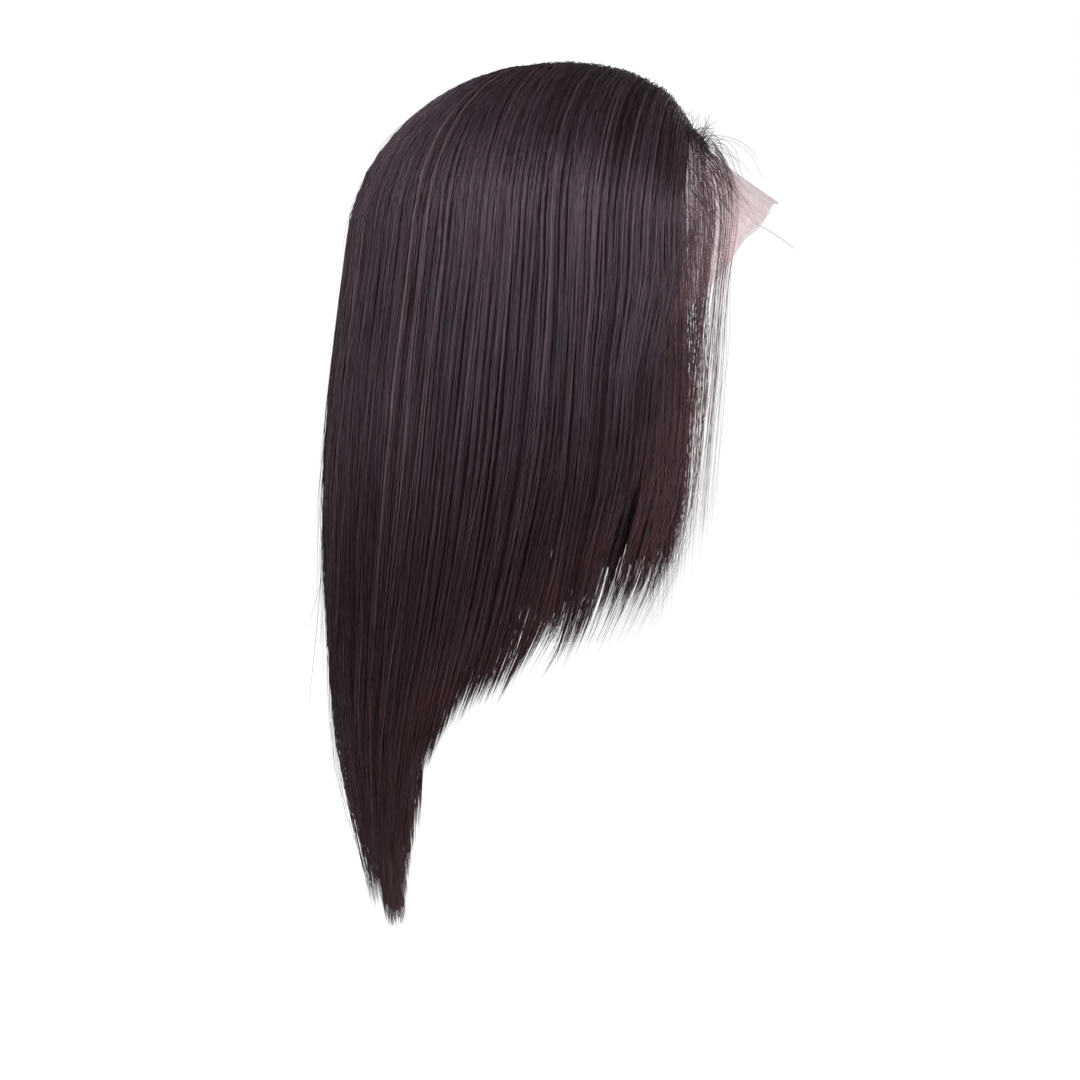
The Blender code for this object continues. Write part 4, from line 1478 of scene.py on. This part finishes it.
def loose_hair(field, count, rng):
    """Short hairs that leave the surface slowly on their way down."""
    share = rng.uniform(0.02, 0.98, (count, 1))
    start = rng.uniform(0.02, 0.80, (count, 1))
    length = rng.uniform(0.10, 0.34, (count, 1))
    along = np.minimum(start + length * FLYAWAY_STEPS, 1.06)
    drift = rng.normal(0, 0.045, (count, 1)) * FLYAWAY_STEPS**1.4
    rise = rng.gamma(1.6, 0.17, (count, 1)) * FLYAWAY_STEPS**1.5
    across = np.clip(share + drift, -0.1, 1.0)
    return hair_place(field, across, along, 0.86 + rise)


rng = np.random.default_rng(LOOSE_SEED)
paths = np.concatenate([loose_hair(fields[row.field], row.count, rng) for row in LOOSE_HAIR])
radii = WISP_RADIUS * rng.uniform(0.6, 1.0, len(paths))
tones = rng.integers(6, TONES, len(paths))
strands_piece("loose_hairs", paths, radii, tones, FLYAWAY_STEPS, rng)

# %% [markdown]
# Hair is knotted into the lace a strand at a time, thinner towards its front edge. The first
# kind starts behind the hairline and lies forward over the bare lace.

# %% Hairs tied into the bare lace
LACE_HAIR_COUNT = 130
BABY_HAIR_COUNT = 210
ROOT_HAIR_COUNT = 130
ARC_COUNT = 16
HAIRLINE_SEED = 61
HAIRLINE_TONE_END = 0.8
LACE_HAIR_CLEAR = 0.0007
STRAY_START = (-0.004, -0.1065, -0.0738)
STRAY_TIP = (-0.006, -0.1310, -0.0895)
t = FLYAWAY_STEPS[None]


def on_lace(across, along, lift):
    """Points at a height over the lace's outer side."""
    points = np.empty((*across.shape, 3))
    for index in np.ndindex(across.shape):
        points[index] = lace_point(across[index], along[index], CAP_PAD + LACE_HAIR_CLEAR + lift[index])
    return points


rng = np.random.default_rng(HAIRLINE_SEED)
root = rng.uniform(-0.62, 0.62, (LACE_HAIR_COUNT, 1))
outwards = np.sign(root) * rng.uniform(0.02, 0.20, (LACE_HAIR_COUNT, 1))
begin = rng.uniform(0.34, 0.46, (LACE_HAIR_COUNT, 1))
finish_at = rng.uniform(0.06, 0.26, (LACE_HAIR_COUNT, 1))
across = root + outwards * t
along = lerp(begin, finish_at, t)
lift = rng.uniform(0.0003, 0.0035, (LACE_HAIR_COUNT, 1)) * np.sin(math.pi * np.minimum(t * 0.9, 1.0))
lace_hairs = on_lace(across, along, lift)
sag = rng.uniform(0.0, 0.010, (LACE_HAIR_COUNT, 1)) * t**2
lace_hairs[..., 2] -= sag
print("hairs over the lace:", len(lace_hairs))

# %% [markdown]
# Baby hairs are the shortest. Each one stands up from the hairline, leans to its side and
# curls, so its heading changes a little at every step.

# %% Baby hairs
BABY_HEADING = 1.05

root = rng.uniform(-0.60, 0.60, (BABY_HAIR_COUNT, 1))
base = on_lace(root, rng.uniform(0.34, 0.42, root.shape), np.zeros(root.shape))
length = rng.uniform(0.005, 0.014, (BABY_HAIR_COUNT, 1))
lean = rng.normal(0.15, 0.55, (BABY_HAIR_COUNT, 1))
curl = rng.normal(0.6, 0.9, (BABY_HAIR_COUNT, 1))
heading = BABY_HEADING + lean - curl * t
sideways = np.sign(root) * rng.uniform(0.0, 0.6, (BABY_HAIR_COUNT, 1))
step = length / (len(FLYAWAY_STEPS) - 1)
baby = np.zeros((BABY_HAIR_COUNT, len(FLYAWAY_STEPS), 3))
baby[..., 0] = np.cumsum(sideways * step * np.ones_like(t), axis=1)
baby[..., 1] = -np.cumsum(np.cos(heading) * step, axis=1)
baby[..., 2] = np.cumsum(np.sin(heading) * step, axis=1)
baby_hairs = base + baby
print("baby hairs:", len(baby_hairs))

# %% [markdown]
# A few long arcs spring from the top of the hairline and bend forward and down. A curve
# through three points is enough for them. One stray hair hangs from the free edge of the lace.

# %% Long arcs and one stray hair
STRAY_BOW = 0.0012


def scatter(x, y, z):
    """Random points: x spreads around 0, y and z lie between two values each."""
    across = rng.normal(0, x, ARC_COUNT)
    return np.stack([across, rng.uniform(*y, ARC_COUNT), rng.uniform(*z, ARC_COUNT)], axis=1)


u = FLYAWAY_STEPS[None, :, None]
start = scatter(0.010, (-0.080, -0.070), (-0.036, -0.026))
over = start + scatter(0.006, (-0.030, -0.014), (0.000, 0.012))
down = over + scatter(0.008, (-0.010, 0.004), (-0.040, -0.016))
arcs = (1 - u) ** 2 * start[:, None] + 2 * u * (1 - u) * over[:, None] + u**2 * down[:, None]
stray = lerp(np.array(STRAY_START), np.array(STRAY_TIP), u[0])
stray[:, 2] += STRAY_BOW * np.sin(math.pi * FLYAWAY_STEPS)
print("long arcs:", len(arcs))

# %% [markdown]
# Dark hairs cover the roots of the front panels, so that the edge of the panel doesn't show
# as a line. Then all the fine hairs become one piece.

# %% Dark roots, and one piece of all fine hairs
root_hairs = []
for side_name in ("right", "left"):
    share = rng.uniform(-0.11, 0.26, (ROOT_HAIR_COUNT, 1))
    reach = rng.uniform(0.05, 0.21, (ROOT_HAIR_COUNT, 1))
    lean = rng.normal(0, 0.03, (ROOT_HAIR_COUNT, 1))
    rise = rng.uniform(0.2, 1.6, (ROOT_HAIR_COUNT, 1))
    field = fields[f"front_hair_{side_name}"]
    root_hairs.append(hair_place(field, share + lean * t, reach * t, rise * t))

paths = np.concatenate([lace_hairs, baby_hairs, arcs, stray[None], *root_hairs])
fine = WISP_RADIUS * rng.uniform(0.7, 1.25, len(paths) - 2 * ROOT_HAIR_COUNT)
radii = np.concatenate([fine, WISP_RADIUS * rng.uniform(1.1, 1.7, 2 * ROOT_HAIR_COUNT)])
fine_tones = rng.integers(4, TONES * 2 // 3, len(fine))
root_tones = rng.integers(0, TONES // 4, 2 * ROOT_HAIR_COUNT)
tones = np.concatenate([fine_tones, root_tones])
strands_piece("hairline_hairs", paths, radii, tones, FLYAWAY_STEPS * HAIRLINE_TONE_END, rng)

# %% [markdown]
# ## Measure
#
# At the end the finished pieces are measured against the plain solids. The stray hair and the
# longest tips may reach a few millimetres past them, and nothing else may.

# %% Measure and finish
seen_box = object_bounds()
total = sum(len(p.vertices) - 2 for o in bpy.data.objects if o.type == "MESH" for p in o.data.polygons)
print("triangles in all meshes:", total)
print("largest difference from the CAD box, in mm:")
for a, b in zip(cad_box, seen_box):
    print([round((q - p) * 1000, 1) for p, q in zip(a, b)])
